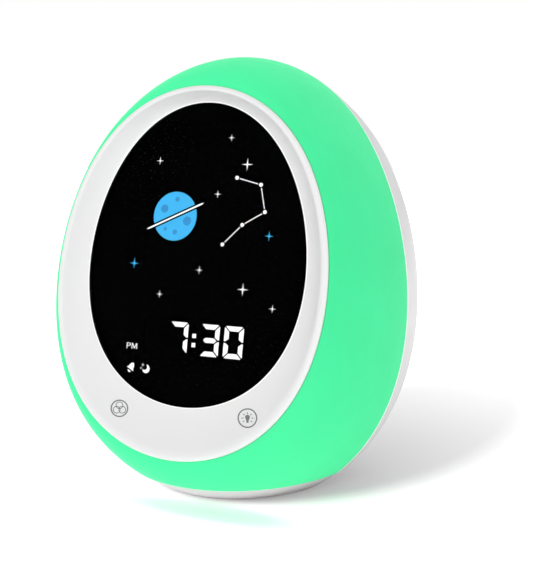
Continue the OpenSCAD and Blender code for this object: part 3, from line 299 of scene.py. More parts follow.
DEEP_BLACK = (0.0006, 0.0006, 0.0007, 1)
M = {
    "ring": plastic("ring_white", srgb(229, 229, 229), 0.34, 2200, depth=0.00002, vary=0.006, spec=0.3),
    # The bead round the window glows faintly in white: a painted highlight, not a lamp
    "ring_bead_highlight": glow("ring_bead_painted_highlight", srgb(250, 250, 250), 0.2, 0.9),
    "pocket": plastic("pocket_black", (0.002, 0.002, 0.002, 1), 0.8, 1400, depth=0.00001, vary=0.1,
                      spec=0.02),
    "case": plastic("case_white", srgb(213, 211, 212), 0.42, 2400, depth=0.00004, vary=0.01, spec=0.25),
    # The cover's edge along the seam glows faintly: painted light from the lamp beside it, not a lamp itself
    "seam_edge_glow": glow("seam_edge_painted_glow", srgb(232, 250, 238), 0.26, 0.85),
    "foot": plastic("foot_white", srgb(214, 206, 210), 0.42, 2400, depth=0.00004, vary=0.01, spec=0.25),
    "glow_shell": shell_mat(),
    "lens": lens_mat(),
    "film": plastic("film_black", DEEP_BLACK, 0.6, 1500, depth=0.00001, vary=0.2, spec=0.0),
    "tape": plastic("tape_black", (0.004, 0.004, 0.004, 1), 0.9, 700, spec=0.05),
    "lit_white": glow("lit_white", (1, 1, 1, 1), 1.0, 0.15),
    "lit_blue": glow("lit_blue", srgb(41, 171, 228), 0.85, 0.3),
    "lit_deep_blue": glow("lit_deep_blue", srgb(26, 132, 196), 0.85, 0.3),
    "key_grey": plastic("key_grey", srgb(112, 112, 114), 0.5, 900),
    "label_grey": plastic("label_grey", srgb(120, 120, 124), 0.5, 900),
    "white_inner": plastic("inner_white", srgb(226, 226, 228), 0.5, 1200),
    "black_inner": plastic("inner_black", srgb(22, 22, 24), 0.45, 1400),
    "module": plastic("module_black", DEEP_BLACK, 0.6, 1200, depth=0.00001, vary=0.2, spec=0.0),
    "led": plastic("led_resin", srgb(246, 236, 190), 0.25, 800, depth=0.00001, vary=0.05, spec=0.6, coat=0.4),
    "board": board_mat(),
    "spring_steel": metal("bright_steel", (0.72, 0.72, 0.74, 1), 0.25),
    "screw": metal("zinc_steel", (0.62, 0.62, 0.64, 1), 0.34),
    "capacitor": plastic("capacitor_sleeve", srgb(38, 60, 132), 0.3, 900, depth=0.00001, vary=0.05, spec=0.6,
                         coat=0.5),
    "ivory": plastic("connector_ivory", srgb(232, 226, 200), 0.5, 1400),
    "ribbon": plastic("ribbon_grey", srgb(190, 190, 196), 0.4, 500),
    "foam": plastic("foam_black", srgb(30, 30, 31), 0.95, 700, depth=0.0002),
    "speaker_metal": plastic("speaker_black", srgb(52, 52, 56), 0.4, 1200),
    "cone": plastic("cone_paper", srgb(34, 34, 36), 0.8, 800, depth=0.0001),
    "magnet": metal("magnet_plate", (0.55, 0.55, 0.57, 1), 0.4),
    "lead": plastic("lead_red", srgb(186, 36, 34), 0.45, 900),
    "lead_yellow": plastic("lead_yellow", srgb(214, 170, 52), 0.45, 900),
    "button": plastic("button_grey", srgb(206, 206, 210), 0.36, 2200),
    "battery_box": plastic("box_charcoal", srgb(52, 52, 56), 0.5, 1500),
    "cell": cell_mat(),
    "pad": plastic("pad_rubber", srgb(44, 44, 46), 0.8, 1600, depth=0.00008),
}


# ---- meshes ----
SLAB_W = 400


def piece(name, mesh, mat, body="housing", replaces=(), crease=32):
    """Adds a piece that rides on a body, smooth but for edges sharper than crease degrees."""
    mesh.name = name
    mesh.materials.clear()
    mesh.materials.append(mat)
    for face in mesh.polygons:
        face.use_smooth = True
    mesh.set_sharp_from_angle(angle=radians(crease))
    obj = bpy.data.objects.new(name, mesh)
    scene.collection.objects.link(obj)
    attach(obj, body)
    if replaces:
        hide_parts(*replaces)
    return obj


def mesh_of(verts, faces, matrix=FACE):
    bm = bmesh.new()
    spots = [bm.verts.new(matrix @ Vector(v)) for v in verts]
    for f in faces:
        bm.faces.new([spots[i] for i in f])
    bmesh.ops.recalc_face_normals(bm, faces=bm.faces)
    mesh = bpy.data.meshes.new("mesh")
    bm.to_mesh(mesh)
    bm.free()
    return mesh


def skin(sections, closed):
    """Skins sections, each an outline and its depth, into a hoop or into a solid with two ends."""
    n, count = STEPS, len(sections)
    verts = [(*p, z) for o, z in sections for p in rim_loop(o, n)]
    faces = [(k * n + i, k * n + (i + 1) % n, (k + 1) % count * n + (i + 1) % n, (k + 1) % count * n + i)
             for k in range(count if closed else count - 1) for i in range(n)]
    if not closed:
        faces += [tuple(reversed(range(n))), tuple((count - 1) * n + i for i in range(n))]
    return verts, faces


def stack(loops):
    """Loops of equal length, each a list of points, skinned into a closed solid."""
    n = len(loops[0])
    verts = [p for loop in loops for p in loop]
    faces = [(k * n + i, k * n + (i + 1) % n, (k + 1) * n + (i + 1) % n, (k + 1) * n + i)
             for k in range(len(loops) - 1) for i in range(n)]
    return verts, faces + [tuple(reversed(range(n))), tuple((len(loops) - 1) * n + i for i in range(n))]


def circle(x, y, r, n):
    return [(x + r * cos(2 * pi * i / n), y + r * sin(2 * pi * i / n)) for i in range(n)]


def hoop(x, y, r, w, n=64):
    return [circle(x, y, r + w / 2, n), circle(x, y, r - w / 2, n)]


def bar(x, y, w, h):
    return [(x - w / 2, y - h / 2), (x + w / 2, y - h / 2), (x + w / 2, y + h / 2), (x - w / 2, y + h / 2)]


def rounded(x, y, w, h, r, n):
    """A rectangle with round corners, each of n stretches."""
    pts = []
    for cx, cy, start in ((1, 1, 0), (-1, 1, 90), (-1, -1, 180), (1, -1, 270)):
        for i in range(n + 1):
            a = radians(start + 90 * i / n)
            pts.append((x + cx * (w / 2 - r) + r * cos(a), y + cy * (h / 2 - r) + r * sin(a)))
    return pts


def stadium(x, y, w, h):
    """A slot with round ends."""
    pts = []
    for side, start in ((1, -90), (-1, 90)):
        for i in range(END_STEPS + 1):
            a = radians(start + 180 * i / END_STEPS)
            pts.append((x + side * (w - h) / 2 + h / 2 * cos(a), y + h / 2 * sin(a)))
    return pts


def placed(loop, x, y, turn=0, k=1.0):
    """A loop scaled by k, turned by so many degrees and moved to x, y."""
    c, s = cos(radians(turn)) * k, sin(radians(turn)) * k
    return [(x + c * px - s * py, y + s * px + c * py) for px, py in loop]


def prism(loop, low, high):
    return stack([[(*p, low) for p in loop], [(*p, high) for p in loop]])


def lathe(x, y, profile, n=64):
    """A turned solid about the line through x, y: the profile lists radius and depth."""
    return stack([[(*p, z) for p in circle(x, y, r, n)] for r, z in profile])


def rod(x, y, r, low, high, n=64):
    return lathe(x, y, [(r, low), (r, high)], n)


def slab(low, high):
    """A block that is wider than the part, between two heights over the table."""
    return mesh_of(*prism(bar(0, 0, SLAB_W, SLAB_W), low, high), TABLE)


def joined(parts):
    verts, faces = [], []
    for v, f in parts:
        faces += [tuple(i + len(verts) for i in face) for face in f]
        verts += v
    return verts, faces


def flat(loops, low, high):
    """Closed outlines, with any outline inside another cut out of it, as a plate on the face."""
    curve = bpy.data.curves.new("flat", "CURVE")
    curve.dimensions = "2D"
    curve.fill_mode = "BOTH"
    curve.extrude = (high - low) / 2
    for loop in loops:
        spline = curve.splines.new("POLY")
        spline.points.add(len(loop) - 1)
        for point, (x, y) in zip(spline.points, loop):
            point.co = (x, y, 0, 1)
        spline.use_cyclic_u = True
    obj = bpy.data.objects.new("flat", curve)
    mesh = bpy.data.meshes.new_from_object(obj)
    bpy.data.objects.remove(obj)
    bpy.data.curves.remove(curve)
    mesh.transform(Matrix.Translation((0, 0, (low + high) / 2)))
    bm = bmesh.new()
    bm.from_mesh(mesh)
    bmesh.ops.remove_doubles(bm, verts=bm.verts, dist=1e-4)
    bmesh.ops.recalc_face_normals(bm, faces=bm.faces)
    bm.to_mesh(mesh)
    bm.free()
    return mesh


def on_face(mesh):
    mesh.transform(FACE)
    return mesh


def carve(mesh, cutters, operation="DIFFERENCE"):
    """Cuts closed meshes from a mesh, joins them to it, or keeps what they share, one after the other."""
    obj = bpy.data.objects.new("carved", mesh)
    scene.collection.objects.link(obj)
    for cutter in cutters:
        tool = bpy.data.objects.new("tool", cutter)
        scene.collection.objects.link(tool)
        mod = obj.modifiers.new("cut", "BOOLEAN")
        mod.operation, mod.solver, mod.object = operation, "EXACT", tool
        bpy.context.view_layer.update()
        result = bpy.data.meshes.new_from_object(obj.evaluated_get(bpy.context.evaluated_depsgraph_get()))
        obj.modifiers.clear()
        obj.data = result
        bpy.data.objects.remove(tool)
    result = obj.data
    bpy.data.objects.remove(obj)
    return result


# ---- ring ----
LIP_STEPS, DISH_STEPS, BEAD_STEPS = 10, 28, 6
# The lip's round stops a little short of its crest and its height, and the dish swells out beside it
LIP_SHARE, LIP_TOP, DISH_SWELL = 0.8, 0.95 * LIP_RISE, 0.22
DISH_SAG, DISH_T = 0.4, 2
# Width of the bead round the window, which carries a painted highlight, and how far the wall under it draws
# back
BEAD, UNDERCUT = 0.32, 0.75
POCKET_RIM = 0.8
SKIRT_T, SKIRT_H = 1.2, 4.4
FLANGE_TURN, FLANGE_FIT, NECK_IN = radians(9), 0.35, 0.6
UNDER_DISH_Z = LEDGE_Z + 1.2
POST_ANGLES, POST_R, POST_LOW = (0, 180, 270), 2.6, -16.2
KEY_ANGLES, KEY_BOSS_R, KEY_BOSS_Z = (244, 301), 3.2, LEDGE_Z - 0.3


def ring_front():
    """Sections from the ring's outer edge over its lip and down the hollow dish to the bead."""
    edge, crest, bead = grown(RING, -FIT), grown(RING, -LIP_W), grown(WINDOW, BEAD)
    sections = [(grown(edge, -0.05), -0.25), (edge, -0.1)]
    for i in range(LIP_STEPS + 1):
        a = pi / 2 * i / LIP_STEPS
        sections.append((mixed(edge, crest, (1 - cos(a)) * LIP_SHARE), LIP_TOP * sin(a)))
    for i in range(1, DISH_STEPS + 1):
        t = i / DISH_STEPS
        slope = LIP_TOP - (LIP_TOP + RECESS) * t - DISH_SAG * sin(pi * t)
        swell = DISH_SWELL * (1 - t) * min(1, t * 10)
        sections.append((mixed(crest, bead, t), slope + swell))
    return sections


def ring_bead():
    """Sections of the half round between the dish and the window's edge."""
    angles = [pi * i / BEAD_STEPS for i in range(1, BEAD_STEPS + 1)]
    return [(grown(WINDOW, BEAD * (1 + cos(a)) / 2), BEAD * sin(a) / 2 - RECESS) for a in angles]


def ring_back():
    """Sections behind: the wall under the bead, the lens pocket, the skirt and the flange."""
    edge = grown(RING, -FIT)
    pocket = grown(WINDOW, LEDGE_W + FIT)
    pocket_out = grown(pocket, POCKET_RIM)
    skirt_in = grown(edge, -SKIRT_T)
    flange = shell_section(FLANGE_TURN, WALL + FLANGE_FIT)
    return [(grown(WINDOW, UNDERCUT), LEDGE_Z), (pocket, LEDGE_Z), (pocket, CELLS_Z), (pocket_out, CELLS_Z),
            (pocket_out, LEDGE_Z - 0.2), (mixed(pocket_out, skirt_in, 0.6), LEDGE_Z + 0.9),
            (skirt_in, LIP_RISE - DISH_T), (skirt_in, -SKIRT_H), (flange[0], -SKIRT_H), flange,
            (grown(edge, -NECK_IN), -WALL - FLANGE_FIT)]


def ring_middle(a):
    """Middle of the ring's face at an angle in degrees."""
    p, q = rim_point(RING, radians(a)), rim_point(WINDOW, radians(a))
    return ((p[0] + q[0]) / 2, (p[1] + q[1]) / 2)


ring_sections = ring_front()
bead_start = len(ring_sections) - 1
ring_sections += ring_bead()
wall_start = len(ring_sections) - 1
ring_sections += ring_back()
ring_skin = skin(ring_sections, True)
posts = [rod(*ring_middle(a), POST_R, POST_LOW, UNDER_DISH_Z, 32) for a in POST_ANGLES]
bosses = [rod(*ring_middle(a), KEY_BOSS_R, KEY_BOSS_Z, UNDER_DISH_Z, 32) for a in KEY_ANGLES]
ring = piece("ring", mesh_of(*joined([ring_skin] + posts + bosses)), M["ring"],
             replaces=("front_bezel",), crease=40)


def paint_ring(mat, first, last):
    """Gives the ring's strips from first up to last a finish of their own."""
    ring.data.materials.append(mat)
    for face in ring.data.polygons[first * STEPS:last * STEPS]:
        face.material_index = len(ring.data.materials) - 1


# The bead round the window gets a faint white glow: a painted highlight on its edge
paint_ring(M["ring_bead_highlight"], bead_start, wall_start)
# The wall under the bead and the lens pocket are black, so that no light shows round the window
paint_ring(M["pocket"], wall_start, wall_start + 3)

# ---- touch keys: thin prints that follow the ring's sloping dish ----
LEFT_KEY, RIGHT_KEY = (-19.5, -42.4), (23.4, -40.4)
# How each print is stretched to look even on the slope
LEFT_STRETCH, RIGHT_STRETCH = ((1.1, -0.3), (0.11, 1.02)), ((1.23, -0.28), (0.15, 0.95))
KEY_PRINT_T, KEY_PRINT_LIFT = 0.02, 0.015
LEFT_KEY_R, RIGHT_KEY_R = 2.3, 2.6
# The dish is found from this height over the face
ABOVE = 20
ring_tree = BVHTree.FromPolygons([Vector(v) for v in ring_skin[0]], ring_skin[1])


def key_print(name, centre, stretch, loops):
    """A print whose every point is lowered onto the dish."""
    (a, b), (c, d) = stretch
    moved = [[(centre[0] + a * x + b * y, centre[1] + c * x + d * y) for x, y in loop] for loop in loops]
    mesh = flat(moved, 0, KEY_PRINT_T)
    for v in mesh.vertices:
        hit = ring_tree.ray_cast(Vector((v.co.x, v.co.y, ABOVE)), Vector((0, 0, -1)))[0]
        v.co.z = hit.z + KEY_PRINT_LIFT + v.co.z
    piece(name, on_face(mesh), M["key_grey"])


def bulb_outline():
    """The lamp sign's glass, round but for the neck, and its cap below."""
    glass_r, glass_y = 0.68, 0.25
    loop = [(glass_r * cos(radians(a)), glass_y + glass_r * sin(radians(a))) for a in range(-35, 216, 10)]
    return loop + [(-0.32, -0.75), (-0.3, -1.3), (0.3, -1.3), (0.32, -0.75)]


key_print("colour_key_ring", LEFT_KEY, LEFT_STRETCH, hoop(0, 0, LEFT_KEY_R, 0.34))
for i, (x, y) in enumerate(((0, 0.86), (-0.78, -0.4), (0.78, -0.4))):
    key_print(f"colour_key_circle_{i + 1}", LEFT_KEY, LEFT_STRETCH, hoop(x, y, 0.95, 0.2, 40))
key_print("lamp_key_ring", RIGHT_KEY, RIGHT_STRETCH, hoop(0, 0, RIGHT_KEY_R, 0.36))
ray_loop = [(1.15, -0.12), (1.7, -0.1), (1.7, 0.1), (1.15, 0.12)]
rays = [placed(ray_loop, 0, 0, a) for a in (-40, 0, 45, 90, 135, 180, 220)]
key_print("lamp_key_bulb", RIGHT_KEY, RIGHT_STRETCH, [bulb_outline()] + rays)

# ---- glowing shell ----
# Lower than the lowest point of the shells, and how far the glowing one ends over the foot's top
BELOW, SHELL_LIFT = -60, 0.08
front_round = [(RING, -0.25), (grown(RING, 0.04), -0.09), (grown(RING, 0.16), -0.04)]
outside, inside = turned(shell_section, SKIN, 56), turned(shell_section, WALL, 28)
shell_mesh = mesh_of(*skin(front_round + outside[1:] + inside[::-1], True))
shell_mesh = carve(shell_mesh, [slab(BELOW, FOOT_H + SHELL_LIFT)])
piece("glowing_shell", shell_mesh, M["glow_shell"], replaces=("diffuser_shell",))

# ---- lens ----
LENS_BEVEL, LENS_BEVEL_H = 0.25, 0.2
glass = grown(WINDOW, LEDGE_W)
glass_in = grown(glass, -LENS_BEVEL)
lens_sections = [(glass_in, FILM_Z), (glass, FILM_Z + LENS_BEVEL_H),
                 (glass, LENS_Z - LENS_BEVEL_H), (glass_in, LENS_Z)]
piece("lens", mesh_of(*skin(lens_sections, False)), M["lens"], replaces=("display_lens",))

# ---- picture behind the lens ----
COLON_X, DIGIT_Y = 1.0, -19.7
MODULE_W, MODULE_H = 35.1, 12.2
PRINT_LOW, PRINT_HIGH, PRINT_SINK = FILM_Z - 0.05, FILM_Z - 0.02, 0.01
# The black base has an opening before the digits, a little smaller than their module
opening = rounded(COLON_X, DIGIT_Y, MODULE_W - 1, MODULE_H - 1, 0.5, 3)
piece("picture_print_base", on_face(flat([rim_loop(glass, 192), opening], CELLS_Z, PRINT_LOW)), M["film"],
      replaces=("picture_film",))


# ---- sparkles, star line and planet ----
WHITE, BLUE = "lit_white", "lit_blue"
WAIST_SHARE = 0.2


def printed(name, loops, look=WHITE):
    piece(name, on_face(flat(loops, PRINT_LOW - PRINT_SINK, PRINT_HIGH)), M[look])


def sparkle(x, y, r):
    """A four-pointed star with hollow sides."""

    def side(tip, waist, t):
        """A point of the side between a tip, where t is 0, and the waist beside it, where t is 1."""
        along, across = r * (1 - t) ** 1.5, r * WAIST_SHARE * t
        return (x + along * cos(tip) + across * cos(waist), y + along * sin(tip) + across * sin(waist))

    pts = []
    for i in range(4):
        tip, waist, next_tip = radians(90 * i), radians(90 * i + 45), radians(90 * (i + 1))
        pts += [side(tip, waist, t) for t in (0, 0.35, 0.7, 1)]
        pts += [side(next_tip, waist, t) for t in (0.7, 0.35)]
    return pts


# Each sparkle's place, its reach and its finish
SPARKLES = [(14, 33, 1.9, WHITE), (-16, 34, 1.3, WHITE), (23, 12, 1.5, BLUE), (5, 24, 1.2, WHITE),
            (16, -4, 1.9, WHITE), (-22, 2, 1.7, BLUE), (1, 1, 1.3, WHITE), (-12, -7, 1.2, WHITE),
            (26, -9, 1.2, WHITE), (8, 41, 1.1, WHITE)]
for i, (x, y, r, look) in enumerate(SPARKLES):
    printed(f"sparkle_{i + 1}", [sparkle(x, y, r)], look)

# Five dots, and the lines between them, which stop before each dot's middle
STAR_LINE = [(8, 9), (14, 15), (21, 19), (19, 27), (11, 29)]
STAR_R, LINE_W, LINE_GAP = 0.6, 0.25, 1.0
line_loops = [circle(x, y, STAR_R, 24) for x, y in STAR_LINE]
for (ax, ay), (bx, by) in zip(STAR_LINE, STAR_LINE[1:]):
    length = hypot(bx - ax, by - ay) - 2 * LINE_GAP
    turn = degrees(atan2(by - ay, bx - ax))
    line_loops.append(placed(bar(0, 0, length, LINE_W), (ax + bx) / 2, (ay + by) / 2, turn))
printed("star_line", line_loops)

# The planet, the gap across its middle and the craters on its disc
PLANET, PLANET_R, PLANET_TURN, DISC_STEPS = (-9, 17), 7.5, 24, 48
BELT_HALF = 0.75
CRATERS = [(-2.6, 3.6, 1.25), (2.4, 4.6, 0.75), (3.4, -3.0, 1.4), (-1.6, -4.6, 0.8), (-4.4, -2.4, 0.6)]


def disc_half(side):
    """Half of the planet's disc, on one side of its belt."""
    start = BELT_HALF / PLANET_R
    angles = [start + (pi - 2 * start) * i / DISC_STEPS for i in range(DISC_STEPS + 1)]
    return placed([(PLANET_R * cos(a), side * PLANET_R * sin(a)) for a in angles], *PLANET, PLANET_TURN)


for name, side in (("planet_upper", 1), ("planet_lower", -1)):
    printed(name, [disc_half(side)], BLUE)
crater_loops = [placed(circle(x, y, r, 32), *PLANET, PLANET_TURN) for x, y, r in CRATERS]
crater_mesh = flat(crater_loops, PRINT_HIGH - 0.005, PRINT_HIGH + 0.01)
piece("planet_craters", on_face(crater_mesh), M["lit_deep_blue"])
belt = [(-10.5, 0), (-9.6, -0.25), (9.6, -0.25), (10.5, 0), (9.6, 0.25), (-9.6, 0.25)]
printed("planet_ring", [placed(belt, *PLANET, PLANET_TURN)])

# ---- indicators under the picture ----
# Outlines of the letters, with a height of 1
P_OUT = [(0, 0), (0, 1), (0.42, 1), (0.58, 0.95), (0.66, 0.83), (0.66, 0.64), (0.58, 0.51), (0.42, 0.45),
         (0.11, 0.45), (0.11, 0)]
P_IN = [(0.11, 0.55), (0.11, 0.9), (0.4, 0.9), (0.51, 0.85), (0.55, 0.74), (0.51, 0.61), (0.4, 0.55)]
M_OUT = [(0, 0), (0, 1), (0.17, 1), (0.46, 0.28), (0.75, 1), (0.92, 1), (0.92, 0), (0.81, 0), (0.81, 0.82),
         (0.5, 0.08), (0.42, 0.08), (0.11, 0.82), (0.11, 0)]
LETTER_W, LETTER_H, LETTER_Y = 2.1, 1.75, -24.3
P_X, M_X = -22.0, -20.2
SIGN_SIZE = 1.3


def letter(loop, left):
    return [(x * LETTER_W + left, y * LETTER_H + LETTER_Y) for x, y in loop]


printed("sign_afternoon", [letter(P_OUT, P_X), letter(P_IN, P_X), letter(M_OUT, M_X)])
bell_side = [(1.05, -0.55), (0.75, -0.2), (0.62, 0.35), (0.45, 0.8), (0.15, 1.1)]
bell = [(-x, y) for x, y in bell_side] + bell_side[::-1]
clapper = [(0.45 * cos(radians(a)), -0.92 + 0.42 * sin(radians(a))) for a in range(180, 361, 20)]
printed("sign_alarm", [placed(loop, -19.7, -29.9, -28, SIGN_SIZE) for loop in (bell, clapper)])
moon = [(cos(radians(a)), sin(radians(a))) for a in range(-148, 91, 10)]
moon += [(-0.42 + 0.72 * cos(radians(a)), 0.42 + 0.72 * sin(radians(a))) for a in range(56, -147, -12)]
moon = placed(moon, -14.4, -30.0, 0, SIGN_SIZE)
printed("sign_night", [moon, sparkle(-15.6, -28.9, 0.65), sparkle(-16.2, -29.9, 0.45)])

# ---- digits ----
DIGIT_W, DIGIT_H, DIGIT_PITCH = 6.3, 9.5, 7.9
SEGMENT_W, SEGMENT_T, SEGMENT_GAP, CORNER = 1.45, 0.12, 0.4 * 0.7, 0.3
# The room between the two middle digits, the colon's middle under theirs, and its two dots
COLON_GAP, COLON_DROP, COLON_RISE, COLON_DOT = 2.7, 0.4, 1.37, 1.25
SEGMENTS_Z = FILM_Z - 0.5
# Each lit digit: its place from the colon, in digits, and its lit bars
SEVEN, THREE, ZERO = (0, 1, 2), (0, 1, 2, 3, 6), (0, 1, 2, 3, 4, 5)
TIME = ((-0.5, SEVEN), (0.5, THREE), (1.5, ZERO))


def segment(i):
    """A digit's bar about its middle. 0 is at the top, 1 to 5 follow clockwise, and 6 is in the middle."""
    w, h, c, g = DIGIT_W / 2, DIGIT_H / 2, CORNER, SEGMENT_GAP
    inner, mid = w - SEGMENT_W, SEGMENT_W / 2
    across = [(-w + c + g, h), (w - c - g, h), (w - c / 2 - g, h - c / 2), (inner - g, h - SEGMENT_W),
              (-inner + g, h - SEGMENT_W), (-w + c / 2 + g, h - c / 2)]
    upright = [(w - c / 2, h - c / 2 - g), (w, h - c - g), (w, g), (inner + mid + g, g), (inner, mid + g),
               (inner, h - SEGMENT_W - g)]
    middle = [(-inner - mid + g, 0), (-inner + g, mid), (inner - g, mid), (inner + mid - g, 0),
              (inner - g, -mid), (-inner + g, -mid)]
    x_side = -1 if i in (4, 5) else 1
    y_side = -1 if i in (2, 3, 4) else 1
    points = middle if i == 6 else across if i in (0, 3) else upright
    return [(x * x_side, y * y_side) for x, y in points]


lit = []
for at, bars in TIME:
    x = COLON_X + at * DIGIT_PITCH + (COLON_GAP if at > 0 else -COLON_GAP) / 2
    lit += [placed(segment(i), x, DIGIT_Y) for i in bars]
for side in (-1, 1):
    lit.append(rounded(COLON_X, DIGIT_Y - COLON_DROP + side * COLON_RISE, COLON_DOT, COLON_DOT, 0.12, 3))
piece("digit_lights", on_face(flat(lit, SEGMENTS_Z - SEGMENT_T, SEGMENTS_Z)), M["lit_white"],
      replaces=("digit_segments",))

# ---- rear cover ----
TONGUE_L, TONGUE_T = 3, 1.2
# Width of the cover's edge along the seam, which glows faintly: painted light standing in for the lamp's
# light on it
SEAM_LIGHT = 0.7
SPEAKER_Y, BUTTON_Y, USB_Y = 46, 20, -42
GRILLE_ROWS, GRILLE_PITCH, GRILLE_R = 4, 3.8, 0.9
BUTTON_X, BUTTON_R = [-27.5, -16.5, -5.5, 5.5, 16.5, 27.5], 3.5
USB_SLOT_W, USB_SLOT_H = 9.54, 3.86
DOOR_W, DOOR_H, DOOR_LOW, DOOR_CORNER = 53.7, 45.7, -35.35, 3
DOOR_TOP = DOOR_LOW + DOOR_H
NOTCH_R, NOTCH_DEPTH = 6, 1.2
CASE_SPOTS = [(x, y) for x in (-34.5, 34.5) for y in (28, -22)]
CASE_COLUMN_R, CASE_COLUMN_H, CASE_HOLE_R = 4, 9, 1.56
CASE_HEAD_R, CASE_HEAD_DEPTH = 2.97, 5
# How far a cutter starts outside the panel, and how far past the panel's inner face it goes
BEFORE, PAST = 0.5, 1.0


def rear_sections():
    """Sections from the middle of the panel's inner face over the tongue and the seam to its outer face."""
    inner, outer = turned(cover_section, WALL, 20), turned(cover_section, SKIN, 40)
    tongue = grown(SEAM, -WALL - 2 * FIT)
    tongue_in = grown(tongue, -TONGUE_T)
    tongue_sections = [(tongue_in, -SEAM_DEPTH - WALL), (tongue_in, -SEAM_DEPTH + TONGUE_L),
                       (tongue, -SEAM_DEPTH + TONGUE_L), (tongue, -SEAM_DEPTH)]
    seam_round = [(grown(SEAM, -0.25), -SEAM_DEPTH), (grown(SEAM, -0.06), -SEAM_DEPTH - 0.1),
                  cover_section(SEAM_LIGHT / REAR_DEPTH, SKIN)]
    last, z = outer[-1]
    panel_round = [(grown(last, -0.12), z + 0.004), (grown(last, -0.5), z)]
    return inner[:0:-1] + tongue_sections + seam_round + outer[1:-1] + panel_round


def door_loop(edge, low_edge):
    """The battery door's outline, grown by two distances: round corners above, square ones at the hinge."""
    w, top, low, r = DOOR_W / 2 + edge, DOOR_TOP + edge, DOOR_LOW - low_edge, DOOR_CORNER + edge
    angles = [pi / 2 * i / CORNER_STEPS for i in range(CORNER_STEPS + 1)]
    arc = [(r * cos(a), r * sin(a)) for a in angles]
    return ([(-w, low), (w, low)] + [(w - r + x, top - r + y) for x, y in arc]
            + [(r - w - x, top - r + y) for x, y in reversed(arc)])


def funnel(loop_at, edge, depth=WALL + PAST):
    """A hole's cutter whose outer edge is broken by a chamfer. loop_at(d) is the hole grown by d."""
    steps = ((-BEFORE, edge + BEFORE), (0, edge), (edge, 0), (depth, 0))
    return stack([[(*p, BACK_Z + z) for p in loop_at(d)] for z, d in steps])


def round_hole(x, y, r, edge, n=64, depth=WALL + PAST):
    return funnel(lambda d: circle(x, y, r + d, n), edge, depth)


def grille_holes():
    """One hole in the middle and rows of six, twelve and so on round it."""
    holes = []
    for row in range(GRILLE_ROWS):
        count = max(6 * row, 1)
        for i in range(count):
            a = 2 * pi * i / count
            x, y = row * GRILLE_PITCH * cos(a), SPEAKER_Y + row * GRILLE_PITCH * sin(a)
            holes.append(round_hole(x, y, GRILLE_R, edge=0.2, n=24))
    return holes


holes = grille_holes()
holes += [round_hole(x, BUTTON_Y, BUTTON_R + PLAY, edge=0.3) for x in BUTTON_X]
holes.append(funnel(lambda d: door_loop(PLAY + d, PLAY + d), edge=0.25))
holes.append(funnel(lambda d: stadium(0, USB_Y, USB_SLOT_W + 2 * d, USB_SLOT_H + 2 * d), edge=0.5))
holes += [round_hole(x, y, CASE_HEAD_R, edge=0.3, depth=CASE_HEAD_DEPTH) for x, y in CASE_SPOTS]
hole_low, hole_high = BACK_Z + CASE_HEAD_DEPTH - 1, INNER_Z + CASE_COLUMN_H + 2
through = [rod(x, y, CASE_HOLE_R, hole_low, hole_high) for x, y in CASE_SPOTS]
columns = [rod(x, y, CASE_COLUMN_R, INNER_Z - 0.5, INNER_Z + CASE_COLUMN_H) for x, y in CASE_SPOTS]
notch = lathe(0, DOOR_TOP, [(NOTCH_R + 0.8, BACK_Z - BEFORE), (NOTCH_R + 0.3, BACK_Z),
                            (NOTCH_R - 0.6, BACK_Z + NOTCH_DEPTH)], 96)
cover = mesh_of(*skin(rear_sections(), False))
cover = carve(cover, [mesh_of(*c) for c in columns], "UNION")
cover = carve(cover, [slab(BELOW, FOOT_H), mesh_of(*joined(holes)), mesh_of(*joined(through + [notch]))])
rear_shell = piece("rear_shell", cover, M["case"], replaces=("rear_cover",))
# The strip of the cover along the seam gets a faint glow: painted light standing in for the lamp's light on
# it
rear_shell.data.materials.append(M["seam_edge_glow"])
to_face = FACE.inverted()
for face in rear_shell.data.polygons:
    if 0 < -SEAM_DEPTH - (to_face @ face.center).z < SEAM_LIGHT:
        face.material_index = 1

# ---- battery door ----
DOOR_T, DOOR_EDGE_R = 1.7, 0.4
HINGE_R = DOOR_T / 2
DOOR_STEPS = 16
# What stands on the panel's inner face starts this deep
ROOT_Z = BACK_Z + 1.6
# Two hooks at the hinge: their stems, and their grips behind the rear cover
TAB_X, TAB_W, TAB_END = 15, 6, BACK_Z + 4.3
STEM_Y, STEM_H = DOOR_LOW + 1.2, 1.2
GRIP_Y, GRIP_H, GRIP_Z = DOOR_LOW + 0.5, 2.6, BACK_Z + 3.5
CATCH_Y, CATCH_W, CATCH_H, CATCH_END = DOOR_TOP - 4, 14, 1.2, BACK_Z + 4.9
# The ribs and the arrow on the outside: the depths of their roots in the panel, their sides and their crests
RIBS, RIB_Y, RIB_PITCH, RIB_W, RIB_STEP, RIB_H = 5, DOOR_TOP - 6, 1.6, 16, 2.2, 0.8
RIB_LEVELS, ARROW_LEVELS = (0.2, -0.12, -0.28), (0.2, -0.12, -0.26)
ARROW, ARROW_Y = [(-2.4, 1.6), (2.4, 1.6), (0, -2.2)], DOOR_LOW + 24.5


def door_panel():
    """The panel: a round nose at the hinge, and small rounds along its other edges."""
    loops = []
    for i in range(DOOR_STEPS + 1):
        depth = DOOR_T * (1 - cos(pi * i / DOOR_STEPS)) / 2
        side = DOOR_EDGE_R - sqrt(DOOR_EDGE_R ** 2 - max(DOOR_EDGE_R - depth, 0) ** 2)
        nose = HINGE_R - sqrt(max(HINGE_R ** 2 - (depth - HINGE_R) ** 2, 0))
        loops.append([(*p, BACK_Z + depth) for p in door_loop(-side, -nose)])
    return stack(loops)


def block(x, y, w, h, low, high):
    """A block with slightly round corners."""
    return prism(rounded(x, y, w, h, 0.2, 2), low, high)


def door_rib(i):
    """A grip rib under the thumb notch. Each is shorter than the one above."""
    y, w = RIB_Y - i * RIB_PITCH, RIB_W - i * RIB_STEP
    rib_foot, crest = stadium(0, y, w, RIB_H), stadium(0, y, w - 0.35, 0.45)
    return stack([[(*p, BACK_Z + z) for p in loop]
                  for loop, z in zip((rib_foot, rib_foot, crest), RIB_LEVELS)])


